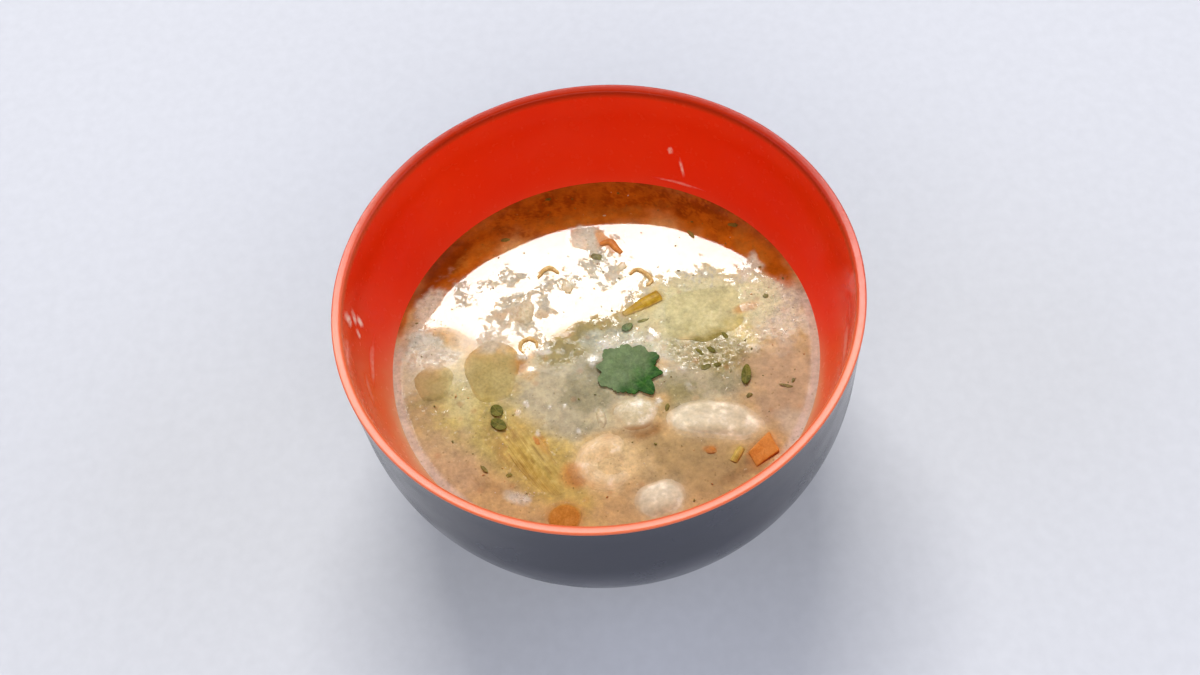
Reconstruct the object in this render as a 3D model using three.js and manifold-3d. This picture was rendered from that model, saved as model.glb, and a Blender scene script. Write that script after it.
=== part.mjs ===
// A small bowl of tom yum soup.
//
// The bowl is one turned piece with a foot ring, a wall that thickens downwards and a crowned lip.
// It is filled with cloudy broth, in which pieces of root, lemongrass, prawn, chicken, mushroom and
// carrot float half sunk among herb leaves. Every piece that breaks the surface is a solid of its
// own, and the broth is hollowed out round each one. Specks of herb and bubbles are one with the
// broth.
//
// Millimetres, +Z up. The origin is on the table, at the middle of the foot ring. +Y is the far
// side of the bowl as the eater sees it.

import * as THREE from "three";
import { mergeVertices } from "three/addons/utils/BufferGeometryUtils.js";
import Module from "manifold-3d";

const wasm = await Module();
wasm.setup();

// ---- Driving dimensions ----

const RIM_RADIUS = 60;
const BOWL_HEIGHT = 66;
const LIP_OUTER_CORNER = 0.35;
const LIP_CROWN = [[59.05, 65.92], [58.45, 65.81]]; // the lip's top falls inwards, as [radius, height]
const LIP_INNER_CORNER = 0.82;
const LIP_FALL = 12; // degrees that the crown has fallen at its inner corner
const BODY_RADIUS = 59.5; // outside of the wall where it starts to curve in
const BODY_BEND_HEIGHT = 46;
const HOLLOW_RADIUS = 57; // inside of the wall where it starts to curve in
const HOLLOW_BEND_HEIGHT = 58;
const FLOOR_HEIGHT = 12; // lowest point of the hollow
const FOOT_RADIUS = 30;
const FOOT_WIDTH = 4;
const FOOT_HEIGHT = 7;
const FOOT_FLARE = 1; // how far the foot widens up to the body
const FOOT_RECESS = 5; // height of the underside inside the foot ring
const FOOT_CHAMFER = 0.7;
const BOWL_SEGMENTS = 48;

const BROTH_LEVEL = 38;
const MENISCUS_HEIGHT = 0.7; // how far the broth climbs the wall
const MENISCUS_WIDTH = 1.3;
const SWELL_HEIGHT = 0.12; // unevenness of the broth's skin
const BROTH_SEGMENTS = 48;
const BROTH_RINGS = 10;

const FIBRE_HEIGHT = 0.3; // how far the fibres of the lemongrass stand up
const WALL_GAP = 0.5; // between the broth and the bowl, less where their facets meet
const PIECE_GAP = 0.33; // between a floating piece and its pocket in the broth
const GROWING_PASSES = 6;

const BUBBLE_COUNT = 9;
const SPECK_COUNT = 8;
const SCATTER_REACH = 45; // random specks stay this far in from the middle
const SCATTER_CLEARANCE = 1.6; // between a speck or bubble and a floating piece

const COLORS = {
  bowl: "#c81e08",
  broth: "#c3a56f",
  coriander: "#4f7a2c",
  herb: "#6b6a26",
  root: "#b7a061",
  lemongrass: "#c09c4a",
  prawn: "#e2bd88",
  chicken: "#e6d6b4",
  mushroom: "#d9c39a",
  carrot: "#cc8340",
  ginger: "#bf9835",
  shallot: "#d6b880",
  chilli: "#bd5a22",
  cabbage: "#cdc391",
};

// ---- Helpers for meshes and solids ----

const UP = new THREE.Vector3(0, 0, 1);

/** Joins the coincident points of a geometry, so that it closes, and drops collapsed triangles. */
function weld(geometry) {
  geometry.deleteAttribute("normal");
  geometry.deleteAttribute("uv");
  const merged = mergeVertices(geometry);
  const corners = merged.index.array;
  const kept = [];
  for (let i = 0; i < corners.length; i += 3) {
    const [a, b, c] = corners.slice(i, i + 3);
    if (a !== b && b !== c && c !== a) {
      kept.push(a, b, c);
    }
  }
  merged.setIndex(kept);
  return merged;
}

/** Moves every point of a geometry to where `place` puts it. */
function reshape(geometry, place) {
  const position = geometry.attributes.position;
  const point = new THREE.Vector3();
  for (let i = 0; i < position.count; i += 1) {
    point.fromBufferAttribute(position, i);
    place(point);
    position.setXYZ(i, point.x, point.y, point.z);
  }
  return geometry;
}

/** A closed body turned round +Z from a profile of [radius, height] points, lowest first. */
function turned(profile, segments) {
  const points = profile.map(([radius, height]) => new THREE.Vector2(radius, height));
  return weld(new THREE.LatheGeometry(points, segments)).rotateX(Math.PI / 2);
}

/** Points on a quarter of an ellipse or less, as [radius, height] pairs. */
function arc(centre, radii, angles, steps) {
  const [start, end] = angles;
  const curve = new THREE.EllipseCurve(...centre, ...radii, start, end, end < start);
  return curve.getPoints(steps).map((point) => [point.x, point.y]);
}

/** Gives an open sheet a thickness: its copy below is split into triangles in the same way. */
function thicken(sheet, thickness) {
  const surface = sheet.attributes.position;
  const count = surface.count;
  const points = [];
  for (const offset of [thickness / 2, -thickness / 2]) {
    for (let i = 0; i < count; i += 1) {
      points.push(surface.getX(i), surface.getY(i), surface.getZ(i) + offset);
    }
  }
  const faces = [];
  const openEdges = new Map();
  const corners = sheet.index.array;
  for (let i = 0; i < corners.length; i += 3) {
    const [a, b, c] = corners.slice(i, i + 3);
    faces.push(a, b, c, count + a, count + c, count + b);
    for (const [from, to] of [[a, b], [b, c], [c, a]]) {
      if (!openEdges.delete(`${to}-${from}`)) {
        openEdges.set(`${from}-${to}`, [from, to]);
      }
    }
  }
  for (const [from, to] of openEdges.values()) {
    faces.push(to, from, count + from, to, count + from, count + to);
  }
  const body = new THREE.BufferGeometry();
  body.setAttribute("position", new THREE.Float32BufferAttribute(points, 3));
  body.setIndex(faces);
  return body;
}

/** A copy of a closed body whose every face stands further out by at least the distance. */
function grown(geometry, distance) {
  const position = geometry.attributes.position;
  const corners = geometry.index.array;
  const normalsAt = Array.from({ length: position.count }, () => []);
  const face = new THREE.Triangle();
  for (let i = 0; i < corners.length; i += 3) {
    face.setFromAttributeAndIndices(position, corners[i], corners[i + 1], corners[i + 2]);
    const normal = face.getNormal(new THREE.Vector3());
    for (const corner of corners.slice(i, i + 3)) {
      normalsAt[corner].push(normal);
    }
  }
  let index = 0;
  return reshape(geometry.clone(), (point) => {
    const move = new THREE.Vector3();
    for (let pass = 0; pass < GROWING_PASSES; pass += 1) {
      for (const normal of normalsAt[index]) {
        move.addScaledVector(normal, Math.max(0, distance - move.dot(normal)));
      }
    }
    point.add(move);
    index += 1;
  });
}

/** Makes a boolean solid from a closed geometry. */
function solidOf(geometry) {
  const vertProperties = Float32Array.from(geometry.attributes.position.array);
  const triVerts = Uint32Array.from(geometry.index.array);
  return new wasm.Manifold(new wasm.Mesh({ numProp: 3, vertProperties, triVerts }));
}

/** Turns a boolean solid back into a geometry. */
function geometryOf(solid) {
  const { vertProperties, triVerts } = solid.getMesh();
  const geometry = new THREE.BufferGeometry();
  geometry.setAttribute("position", new THREE.BufferAttribute(vertProperties, 3));
  geometry.setIndex(new THREE.BufferAttribute(triVerts, 1));
  return geometry;
}

/** Repeatable random numbers from 0 to 1. */
function randomNumbers(seed) {
  let state = seed;
  return () => {
    state = (Math.imul(state, 1664525) + 1013904223) >>> 0;
    return state / 2 ** 32;
  };
}

// ---- Shapes of food, each with its middle at the origin and the broth's level at z = 0 ----

/** A rounded, uneven chunk. The power squares it off: 1 is an ellipsoid, less is blockier. */
function chunk({ length, width, height, power = 0.85, bumps = 0.06, bend = 0, detail = 2 }) {
  const ball = weld(new THREE.IcosahedronGeometry(1, detail));
  const squared = (value) => Math.sign(value) * Math.abs(value) ** power;
  return reshape(ball, (point) => {
    const { x, y, z } = point;
    const swell = 1 + bumps * (Math.sin(4 * x + 1.7) * Math.cos(3 * y) + Math.sin(5 * y + 3 * z));
    point.x = (squared(x) * swell * length) / 2;
    point.y = (squared(y) * swell * width) / 2 + bend * (x * x - 0.5);
    point.z = (squared(z) * swell * height) / 2;
  });
}

/** A slice cut across a root: an uneven oval disc with softened edges and a slightly domed top. */
function slice({ length, width, thickness, wobble = 0.04, dome = 0.3, segments = 20 }) {
  const edge = Math.min(0.6, thickness / 3);
  const rim = 1 - (2 * edge) / width;
  const profile = [
    [0, -thickness],
    [rim, -thickness],
    [1, edge - thickness],
    [1, -edge],
    [rim, 0],
    [rim / 2, 0],
    [0, 0],
  ];
  return reshape(turned(profile, segments), (point) => {
    const angle = Math.atan2(point.y, point.x);
    const fromMiddle = Math.hypot(point.x, point.y);
    const uneven = 1 + wobble * (Math.sin(2 * angle + 1) + Math.sin(3 * angle) + Math.sin(5 * angle));
    point.x *= (uneven * length) / 2;
    point.y *= (uneven * width) / 2;
    point.z += dome * (1 - fromMiddle ** 2);
  });
}

/** A strip whose section runs along a curve, made wider or narrower on the way by `widthAt`. */
function strip({ section, route, steps, widthAt = () => 1 }) {
  const curve = new THREE.CatmullRomCurve3(route.map((point) => new THREE.Vector3(...point)));
  const straight = new THREE.ExtrudeGeometry(section, { depth: 1, steps, bevelEnabled: false });
  return reshape(weld(straight), (point) => {
    const { x, y, z } = point;
    const ahead = curve.getTangentAt(z);
    const side = new THREE.Vector3().crossVectors(UP, ahead).normalize();
    const lift = new THREE.Vector3().crossVectors(ahead, side);
    point.copy(curve.getPointAt(z));
    point.addScaledVector(side, x * widthAt(z));
    point.addScaledVector(lift, y * widthAt(z));
  });
}

/** An oval section for a strip. */
function ovalSection(width, height, corners) {
  const outline = new THREE.EllipseCurve(0, 0, width / 2, height / 2);
  return new THREE.Shape(outline.getPoints(corners).slice(0, corners));
}

/** The section of a sheath of lemongrass: crowned, with fibres standing up along it. */
function fibrousSection(width, height, fibres) {
  const top = [];
  const steps = 2 * fibres;
  for (let i = 0; i <= steps; i += 1) {
    const across = 1 - (2 * i) / steps;
    const fibre = i % 2 === 1 ? FIBRE_HEIGHT : 0;
    const crown = height * (1 - 0.5 * across ** 2) + fibre;
    top.push(new THREE.Vector2((across * width) / 2, crown - height));
  }
  const bottom = [new THREE.Vector2(-0.4 * width, -height), new THREE.Vector2(0.4 * width, -height)];
  return new THREE.Shape([...top, ...bottom]);
}

/** A thin wavy leaf. `reachAt` gives its outline as a distance from the middle at each angle. */
function leaf({ reachAt, waveAt, thickness = 0.45, spokes = 24, rings = 3 }) {
  const sheet = reshape(weld(new THREE.RingGeometry(0, 1, spokes, rings)), (point) => {
    const angle = Math.atan2(point.y, point.x);
    const reach = reachAt(angle);
    point.x *= reach;
    point.y *= reach;
    point.z = waveAt(point.x, point.y);
  });
  return thicken(sheet, thickness);
}

/** The outline of a leaf as an oval with pointed lobes at the given [angle, reach, breadth]. */
function lobed(baseReach, lobes) {
  return (angle) => {
    let reach = baseReach;
    for (const [degrees, extra, breadth] of lobes) {
      const away = THREE.MathUtils.euclideanModulo(angle - THREE.MathUtils.degToRad(degrees), 2 * Math.PI);
      const turn = Math.min(away, 2 * Math.PI - away) / THREE.MathUtils.degToRad(breadth);
      reach += extra * Math.exp(-turn * turn);
    }
    return reach;
  };
}

/** The outline of a small oval leaf with a point at one end. */
function ovalOutline(length, width) {
  return (angle) => {
    const oval = 1 / Math.hypot(Math.cos(angle) / (length / 2), Math.sin(angle) / (width / 2));
    return oval * (1 + 0.12 * Math.exp(-(angle * angle) / 0.1));
  };
}

/** A route round part of an oval, for a piece that curls. */
function curledRoute(radii, degrees, height) {
  const [from, to] = degrees.map(THREE.MathUtils.degToRad);
  const curve = new THREE.EllipseCurve(0, 0, ...radii, from, to, to < from);
  return curve.getPoints(6).map((point) => [point.x, point.y, height]);
}

// ---- The floating pieces ----

// Lobes of the coriander leaf: direction in degrees, reach beyond the middle, breadth in degrees.
const CORIANDER_REACH = 6.3;
const CORIANDER_LOBES = [
  [21, 2.1, 13],
  [-16, 2.1, 10],
  [-55, 3.1, 12],
  [-86, 0.7, 9],
  [-120, 0.5, 12],
  [200, 1.8, 15],
  [164, 1.6, 9],
  [130, 1.8, 15],
  [90, 0.9, 13],
  [54, 1.2, 11],
];
const CABBAGE_LOBES = [
  [35, 3.2, 28],
  [-20, 2.6, 24],
  [150, 2.4, 30],
  [205, 2.8, 26],
  [265, 0.6, 20],
];

/** The prawn's thickness along its body: rounded at the head, pleated, slim at the tail. */
function prawnWidth(along) {
  const pleats = 1 + 0.05 * Math.cos(12 * Math.PI * along);
  return pleats * Math.min(0.6 + 4 * along, 1) * (1 - 0.45 * along ** 2);
}

const gingerWidth = (along) => 0.45 + 0.55 * Math.min(1, 1.6 * along);
const taperedEnds = (along) => 0.55 + 0.45 * Math.sin(Math.PI * along);
const grassWidth = (along) => 1 - 0.25 * along ** 2;

/** The chunk of carrot: four uneven corners, softened edges and a narrower foot, its top at z = 0. */
function carrotBlock(thickness, narrowing) {
  const corners = [[1.8, 3.9], [-3.5, -0.2], [-2.3, -4], [3.2, -0.9]];
  const outline = new THREE.Shape(corners.map(([x, y]) => new THREE.Vector2(x, y)));
  const softened = { bevelThickness: 0.5, bevelSize: 0.5, bevelSegments: 1 };
  const block = new THREE.ExtrudeGeometry(outline, { depth: thickness - 1, ...softened });
  return reshape(weld(block).translate(0, 0, 0.5 - thickness), (point) => {
    const share = 1 + (narrowing * point.z) / thickness;
    point.x *= share;
    point.y *= share;
  });
}

// `at` is the middle of each piece over the broth's level, `turn` and `tilt` are in degrees.
const PIECES = [
  {
    name: "coriander_leaf",
    color: COLORS.coriander,
    at: [5, -6, 0.35],
    geometry: leaf({
      reachAt: lobed(CORIANDER_REACH, CORIANDER_LOBES),
      waveAt: (x, y) => 0.22 * Math.sin(0.9 * x + 0.5) * Math.cos(0.7 * y) + 0.006 * (x * x + y * y) - 0.1,
      spokes: 40,
      rings: 2,
    }),
  },
  {
    name: "coriander_sprig",
    color: COLORS.coriander,
    at: [6.2, 5.9, 0.3],
    turn: 25,
    geometry: leaf({ reachAt: ovalOutline(2.8, 2), waveAt: (x) => 0.1 * x * x, spokes: 10, rings: 1 }),
  },
  {
    name: "lime_leaf_upper",
    color: COLORS.herb,
    at: [-27.1, -12.2, 0.3],
    turn: -60,
    geometry: leaf({ reachAt: ovalOutline(3.2, 2.9), waveAt: (x) => 0.06 * x * x, spokes: 12, rings: 1 }),
  },
  {
    name: "lime_leaf_lower",
    color: COLORS.herb,
    at: [-27, -15.9, 0.3],
    turn: -40,
    geometry: leaf({ reachAt: ovalOutline(4, 2.7), waveAt: (x) => 0.05 * x * x, spokes: 12, rings: 1 }),
  },
  {
    name: "basil_leaf",
    color: COLORS.herb,
    at: [32.4, -11.8, 0.3],
    turn: 76,
    geometry: leaf({ reachAt: ovalOutline(5, 2.3), waveAt: (x) => 0.05 * x * x, spokes: 12, rings: 1 }),
  },
  {
    name: "cabbage_leaf",
    color: COLORS.cabbage,
    at: [25, 6.8, 0.1],
    geometry: leaf({
      reachAt: lobed(7.2, CABBAGE_LOBES),
      waveAt: (x, y) => 0.18 * Math.sin(0.45 * x) * Math.cos(0.5 * y) - 0.002 * (x * x + y * y),
      thickness: 0.9,
      spokes: 24,
      rings: 2,
    }),
  },
  {
    name: "galangal_slice_large",
    color: COLORS.root,
    at: [-27.3, -0.7, 0.3],
    tilt: [-1, 0],
    geometry: slice({ length: 13.4, width: 18.6, thickness: 3.6 }),
  },
  {
    name: "galangal_slice_small",
    color: COLORS.root,
    at: [-41.8, -2, 0.2],
    tilt: [0, -2],
    geometry: slice({ length: 10, width: 11.6, thickness: 3 }),
  },
  {
    name: "lemongrass_sheath",
    color: COLORS.lemongrass,
    at: [-19, -26.6, 0],
    geometry: strip({
      section: fibrousSection(9.4, 2.4, 5),
      route: [[-4.6, 8.8, 0.1], [-1.9, 3.1, 0.9], [1.3, -3.2, 0.9], [4.9, -9.4, 0.1]],
      steps: 8,
      widthAt: grassWidth,
    }),
  },
  {
    name: "prawn",
    color: COLORS.prawn,
    at: [-2.4, -30, -1.1],
    geometry: strip({
      section: ovalSection(7.4, 5.2, 8),
      route: curledRoute([5.4, 4.7], [44, 322], 0),
      steps: 18,
      widthAt: prawnWidth,
    }),
  },
  {
    name: "chicken_strip",
    color: COLORS.chicken,
    at: [23.2, -22.9, -1.6],
    turn: -14,
    tilt: [3, 0],
    geometry: chunk({ length: 24, width: 11.6, height: 8, bumps: 0.07, bend: -1.5, detail: 3 }),
  },
  {
    name: "chicken_piece",
    color: COLORS.chicken,
    at: [8, -40.6, -1.5],
    turn: 12,
    geometry: chunk({ length: 12.4, width: 10.6, height: 7, power: 0.8 }),
  },
  {
    name: "mushroom_cap",
    color: COLORS.mushroom,
    at: [5.4, -17.9, 0.3],
    tilt: [5, 0],
    geometry: slice({ length: 10, width: 9.4, thickness: 3, dome: 2 }),
  },
  {
    name: "mushroom_shred",
    color: COLORS.mushroom,
    at: [-3, -17.7, -0.6],
    turn: 96,
    geometry: chunk({ length: 6.4, width: 2.9, height: 3, bend: 0.4, detail: 1 }),
  },
  {
    name: "mushroom_piece",
    color: COLORS.mushroom,
    at: [-18.4, 14.2, -1.3],
    turn: 78,
    geometry: chunk({ length: 10.5, width: 7.6, height: 4, bumps: 0.08 }),
  },
  {
    name: "carrot_block",
    color: COLORS.carrot,
    at: [33.2, -31.7, 1],
    tilt: [5, -4],
    geometry: carrotBlock(3.4, 0.35),
  },
  {
    name: "carrot_round",
    color: COLORS.carrot,
    at: [-14, -42.1, 0.4],
    geometry: slice({ length: 7.8, width: 7.8, thickness: 2.6, wobble: 0.02, segments: 16 }),
  },
  {
    name: "spring_onion",
    color: COLORS.lemongrass,
    at: [27, -32, 0],
    geometry: strip({
      section: ovalSection(2, 1.6, 8),
      route: [[1.2, 1.6, -0.2], [0.15, 0.2, 0.2], [-1.3, -1.8, -0.1]],
      steps: 5,
    }),
  },
  {
    name: "ginger_strip",
    color: COLORS.ginger,
    at: [10.9, 12.3, 0.1],
    geometry: strip({
      section: ovalSection(3.4, 1.8, 8),
      route: [[-5.2, -2.5, 0], [0, -0.2, 0.2], [4.6, 1.8, 0.2]],
      steps: 7,
      widthAt: gingerWidth,
    }),
  },
  {
    name: "shallot_curl_right",
    color: COLORS.shallot,
    at: [11.6, 19.8, 0.25],
    geometry: strip({
      section: ovalSection(1.2, 1.2, 6),
      route: [[-2.9, 1.5, 0], [-0.9, 2.6, 0], [1.3, 0.9, 0], [2.3, -1.3, 0], [0.9, -2.5, 0]],
      steps: 8,
      widthAt: taperedEnds,
    }),
  },
  {
    name: "shallot_curl_left",
    color: COLORS.shallot,
    at: [-11.3, 24.8, 0.25],
    geometry: strip({
      section: ovalSection(1.2, 1.2, 6),
      route: [[-2.6, -0.9, 0], [-1, 1.1, 0], [0.8, 1.6, 0], [2.7, -0.3, 0]],
      steps: 7,
      widthAt: taperedEnds,
    }),
  },
  {
    name: "shallot_curl_middle",
    color: COLORS.shallot,
    at: [-18, 4.4, 0.1],
    geometry: strip({
      section: ovalSection(1.1, 1.1, 6),
      route: curledRoute([2.1, 2.1], [-20, 230], 0),
      steps: 8,
      widthAt: taperedEnds,
    }),
  },
  {
    name: "chilli_strip",
    color: COLORS.chilli,
    at: [5, 30, 0.2],
    geometry: strip({
      section: ovalSection(2, 1.3, 8),
      route: [[-2.5, 1.6, 0], [0.2, 1.9, 0], [1.3, 0, 0], [2.6, -2, 0]],
      steps: 7,
      widthAt: taperedEnds,
    }),
  },
];

/** Makes the named mesh of one piece and sets it in its place over the broth's level. */
function floatingPiece({ name, color, at, geometry, turn = 0, tilt = [0, 0] }) {
  const material = new THREE.MeshStandardMaterial({ color, roughness: 0.4, flatShading: true });
  const mesh = new THREE.Mesh(geometry, material);
  const [tiltX, tiltY] = tilt.map(THREE.MathUtils.degToRad);
  mesh.name = name;
  mesh.position.set(...at);
  mesh.rotation.set(tiltX, tiltY, THREE.MathUtils.degToRad(turn));
  return mesh;
}

// ---- The bowl ----

/** The turned bowl, from the recess under the foot out over the lip and down to the hollow. */
function bowlGeometry() {
  const footInside = FOOT_RADIUS - FOOT_WIDTH;
  const footTop = FOOT_RADIUS + FOOT_FLARE;
  const quarter = Math.PI / 2;
  const fall = quarter + THREE.MathUtils.degToRad(LIP_FALL);
  const [crownRadius, crownHeight] = LIP_CROWN.at(-1);
  const bodyRadii = [BODY_RADIUS - footTop, BODY_BEND_HEIGHT - FOOT_HEIGHT];
  const hollowRadii = [HOLLOW_RADIUS, HOLLOW_BEND_HEIGHT - FLOOR_HEIGHT];
  const outerCorner = [RIM_RADIUS - LIP_OUTER_CORNER, BOWL_HEIGHT - LIP_OUTER_CORNER];
  const innerCorner = [
    crownRadius - LIP_INNER_CORNER * Math.cos(fall),
    crownHeight - LIP_INNER_CORNER * Math.sin(fall),
  ];
  const profile = [
    [0, FOOT_RECESS],
    [footInside - 1, FOOT_RECESS],
    [footInside, FOOT_RECESS - 1],
    [footInside, FOOT_CHAMFER],
    [footInside + FOOT_CHAMFER, 0],
    [FOOT_RADIUS - FOOT_CHAMFER, 0],
    [FOOT_RADIUS, FOOT_CHAMFER],
    ...arc([footTop, BODY_BEND_HEIGHT], bodyRadii, [-quarter, 0], 8),
    ...arc(outerCorner, [LIP_OUTER_CORNER, LIP_OUTER_CORNER], [0, quarter], 2),
    LIP_CROWN[0],
    ...arc(innerCorner, [LIP_INNER_CORNER, LIP_INNER_CORNER], [fall, Math.PI], 2),
    ...arc([0, HOLLOW_BEND_HEIGHT], hollowRadii, [0, -quarter], 8),
  ];
  return turned(profile, BOWL_SEGMENTS);
}

// ---- The broth ----

// The broth's side follows the hollow up to its level, where the wall is still leaning out.
const SIDE_RADII = [HOLLOW_RADIUS - WALL_GAP, HOLLOW_BEND_HEIGHT - FLOOR_HEIGHT - WALL_GAP];
const WATERLINE_ANGLE = Math.asin((BROTH_LEVEL - HOLLOW_BEND_HEIGHT) / SIDE_RADII[1]);
const BROTH_RADIUS = SIDE_RADII[0] * Math.cos(WATERLINE_ANGLE);

// Patches of froth that stand a little proud of the surface.
const FROTH_PATCHES = [
  { x: 43, y: 9, radius: 6, rise: 0.45 },
  { x: -22.5, y: -36, radius: 2.6, rise: 0.5 },
  { x: 0.3, y: 2, radius: 2.2, rise: 0.5 },
  { x: 12, y: 2.6, radius: 2.2, rise: 0.5 },
  { x: -14.8, y: 3, radius: 2.6, rise: 0.4 },
  { x: -42, y: 14, radius: 6, rise: 0.35 },
];

/** How far the broth's skin stands above its level. */
function skinHeight(x, y) {
  const fromWall = BROTH_RADIUS - Math.hypot(x, y);
  let height = MENISCUS_HEIGHT * Math.exp(-fromWall / MENISCUS_WIDTH);
  height += SWELL_HEIGHT * Math.sin(x / 3.7) * Math.cos(y / 4.3 + 0.6);
  for (const patch of FROTH_PATCHES) {
    const away = Math.hypot(x - patch.x, y - patch.y) / patch.radius;
    height += patch.rise * Math.exp(-(away ** 2));
  }
  return height;
}

/** The broth before anything floats in it: it fills the hollow, with an uneven skin on top. */
function brothBody() {
  const side = arc([0, HOLLOW_BEND_HEIGHT], SIDE_RADII, [-Math.PI / 2, WATERLINE_ANGLE], 5);
  const skin = [[BROTH_RADIUS - 0.8, BROTH_LEVEL], [BROTH_RADIUS - 2, BROTH_LEVEL]];
  for (let ring = BROTH_RINGS; ring >= 0; ring -= 1) {
    skin.push([((BROTH_RADIUS - 4) * ring) / BROTH_RINGS, BROTH_LEVEL]);
  }
  return reshape(turned([...side, ...skin], BROTH_SEGMENTS), (point) => {
    if (point.z > BROTH_LEVEL - 0.01) {
      point.z = BROTH_LEVEL + skinHeight(point.x, point.y);
    }
  });
}

// Flecks of herb, chilli and froth that show on the broth: [x, y, length, width, turn in degrees].
const FLECKS = [
  [22.6, -3.6, 2.2, 1, -50],
  [25.4, -3.4, 2.4, 1.2, -45],
  [23.4, -8, 2.6, 1.4, 10],
  [26.2, -7.8, 1.6, 1, -10],
  [29.3, 0, 2.2, 0.9, -60],
  [-31.2, -27, 2.6, 1, -55],
  [-25.6, -29.4, 1.4, 1, 0],
  [41.2, -16, 3.2, 0.8, -22],
  [43.1, -14.8, 1.2, 0.8, 60],
  [32.2, -17.2, 1.6, 1, 30],
  [12.8, -17.4, 2.2, 1, 70],
  [21.2, -30.2, 2.6, 1.6, 0],
  [40.8, 9.4, 1.4, 1.2, 0],
  [1.3, 28, 3, 1.8, -35],
  [25.6, 31, 2.8, 1, -65],
  [-21, 37, 2.4, 1.2, 0],
  [-1.6, 33.4, 4, 3, 20],
  [7, 23.9, 3, 2.2, 40],
  [-7, 19.8, 3.2, 2.2, -60],
  [-38, 3.6, 2.6, 1.4, -10],
  [34.8, -5.4, 4, 2.6, -10],
  [36.6, 6, 3, 1.6, -15],
];

/** A low lump with few sides that stands a little out of the broth. */
function lump(x, y, length, width, height, degrees) {
  const ball = weld(new THREE.SphereGeometry(0.5, 6, 3)).rotateX(Math.PI / 2);
  ball.scale(length, width, height).rotateZ(THREE.MathUtils.degToRad(degrees));
  return solidOf(ball.translate(x, y, BROTH_LEVEL + skinHeight(x, y)));
}

/** Flecks, random specks and bubbles, all clear of the floating pieces. */
function scatter(pieceBoxes) {
  const random = randomNumbers(7);
  const lumps = FLECKS.map(([x, y, length, width, turn]) => lump(x, y, length, width, 0.8, turn));
  const isClear = (x, y) => {
    const spot = new THREE.Vector3(x, y, BROTH_LEVEL);
    return pieceBoxes.every((box) => box.distanceToPoint(spot) > SCATTER_CLEARANCE);
  };
  let wanted = BUBBLE_COUNT + SPECK_COUNT;
  while (wanted > 0) {
    const reach = SCATTER_REACH * Math.sqrt(random());
    const angle = 2 * Math.PI * random();
    const size = 0.9 + 0.8 * random();
    const [x, y] = [reach * Math.cos(angle), reach * Math.sin(angle)];
    if (isClear(x, y)) {
      const isBubble = wanted <= BUBBLE_COUNT;
      lumps.push(lump(x, y, size, isBubble ? size : 0.6 * size, isBubble ? size : 0.6, angle * 57));
      wanted -= 1;
    }
  }
  return lumps;
}

/** The broth with its flecks, hollowed out round the floating pieces. */
function brothGeometry(pieces) {
  const pieceBoxes = pieces.map((piece) => new THREE.Box3().setFromObject(piece));
  let broth = solidOf(brothBody());
  for (const speck of scatter(pieceBoxes)) {
    broth = broth.add(speck);
  }
  for (const piece of pieces) {
    const pocket = grown(piece.geometry, PIECE_GAP).applyMatrix4(piece.matrixWorld);
    broth = broth.subtract(solidOf(pocket));
  }
  return geometryOf(broth);
}

// ---- Put together ----

const soup = new THREE.Group();

const lacquer = new THREE.MeshStandardMaterial({ color: COLORS.bowl, roughness: 0.25 });
const bowl = new THREE.Mesh(bowlGeometry(), lacquer);
bowl.name = "bowl";
soup.add(bowl);

const floating = new THREE.Group();
floating.position.z = BROTH_LEVEL;
floating.add(...PIECES.map(floatingPiece));
soup.add(floating);
soup.updateMatrixWorld(true);

const liquid = new THREE.MeshStandardMaterial({ color: COLORS.broth, roughness: 0.15 });
const broth = new THREE.Mesh(brothGeometry(floating.children), liquid);
broth.name = "broth";
soup.add(broth);

export default soup;
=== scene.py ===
"""A small lacquered bowl of tom yum soup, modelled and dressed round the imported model.

Sizes in the classes are in millimetres and are turned to metres as the meshes are made. +Z is up,
+Y is the far side of the bowl as the eater sees it, and z = 0 is the table.
"""
import logging
import math
import random
from collections.abc import Callable, Iterable, Sequence
from dataclasses import dataclass, field
from enum import Enum
from functools import cache

import bpy
from bpy.types import Material, Node, NodeSocket, NodeTree, Object
from mathutils import Euler, Matrix, Vector, noise
from mathutils.bvhtree import BVHTree
from mathutils.kdtree import KDTree


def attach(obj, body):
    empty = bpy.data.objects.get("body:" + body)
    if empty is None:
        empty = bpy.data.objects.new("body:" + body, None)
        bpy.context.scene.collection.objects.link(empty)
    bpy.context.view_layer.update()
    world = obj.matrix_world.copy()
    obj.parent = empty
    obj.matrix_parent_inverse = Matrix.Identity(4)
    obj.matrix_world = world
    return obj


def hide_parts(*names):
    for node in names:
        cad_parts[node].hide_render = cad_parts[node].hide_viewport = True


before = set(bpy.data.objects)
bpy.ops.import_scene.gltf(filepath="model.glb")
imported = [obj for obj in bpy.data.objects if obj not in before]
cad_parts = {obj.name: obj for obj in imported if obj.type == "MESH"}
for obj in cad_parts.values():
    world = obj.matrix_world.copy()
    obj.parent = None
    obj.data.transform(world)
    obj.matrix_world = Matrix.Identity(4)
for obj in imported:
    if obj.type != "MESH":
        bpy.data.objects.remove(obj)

MM = 0.001  # metres
BODY = "root"
LEVEL = 38.0  # height of the broth over the table

log = logging.getLogger("tom_yum_soup")

Colour = tuple[float, float, float, float]
Spot = tuple[float, float]
Triple = tuple[float, float, float]
Flake = tuple[float, float, float, float, float]
Place = Callable[[Vector], Vector]
Inputs = dict[str | int, object] | Sequence[object]


# ---- Colours and nodes ----


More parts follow.
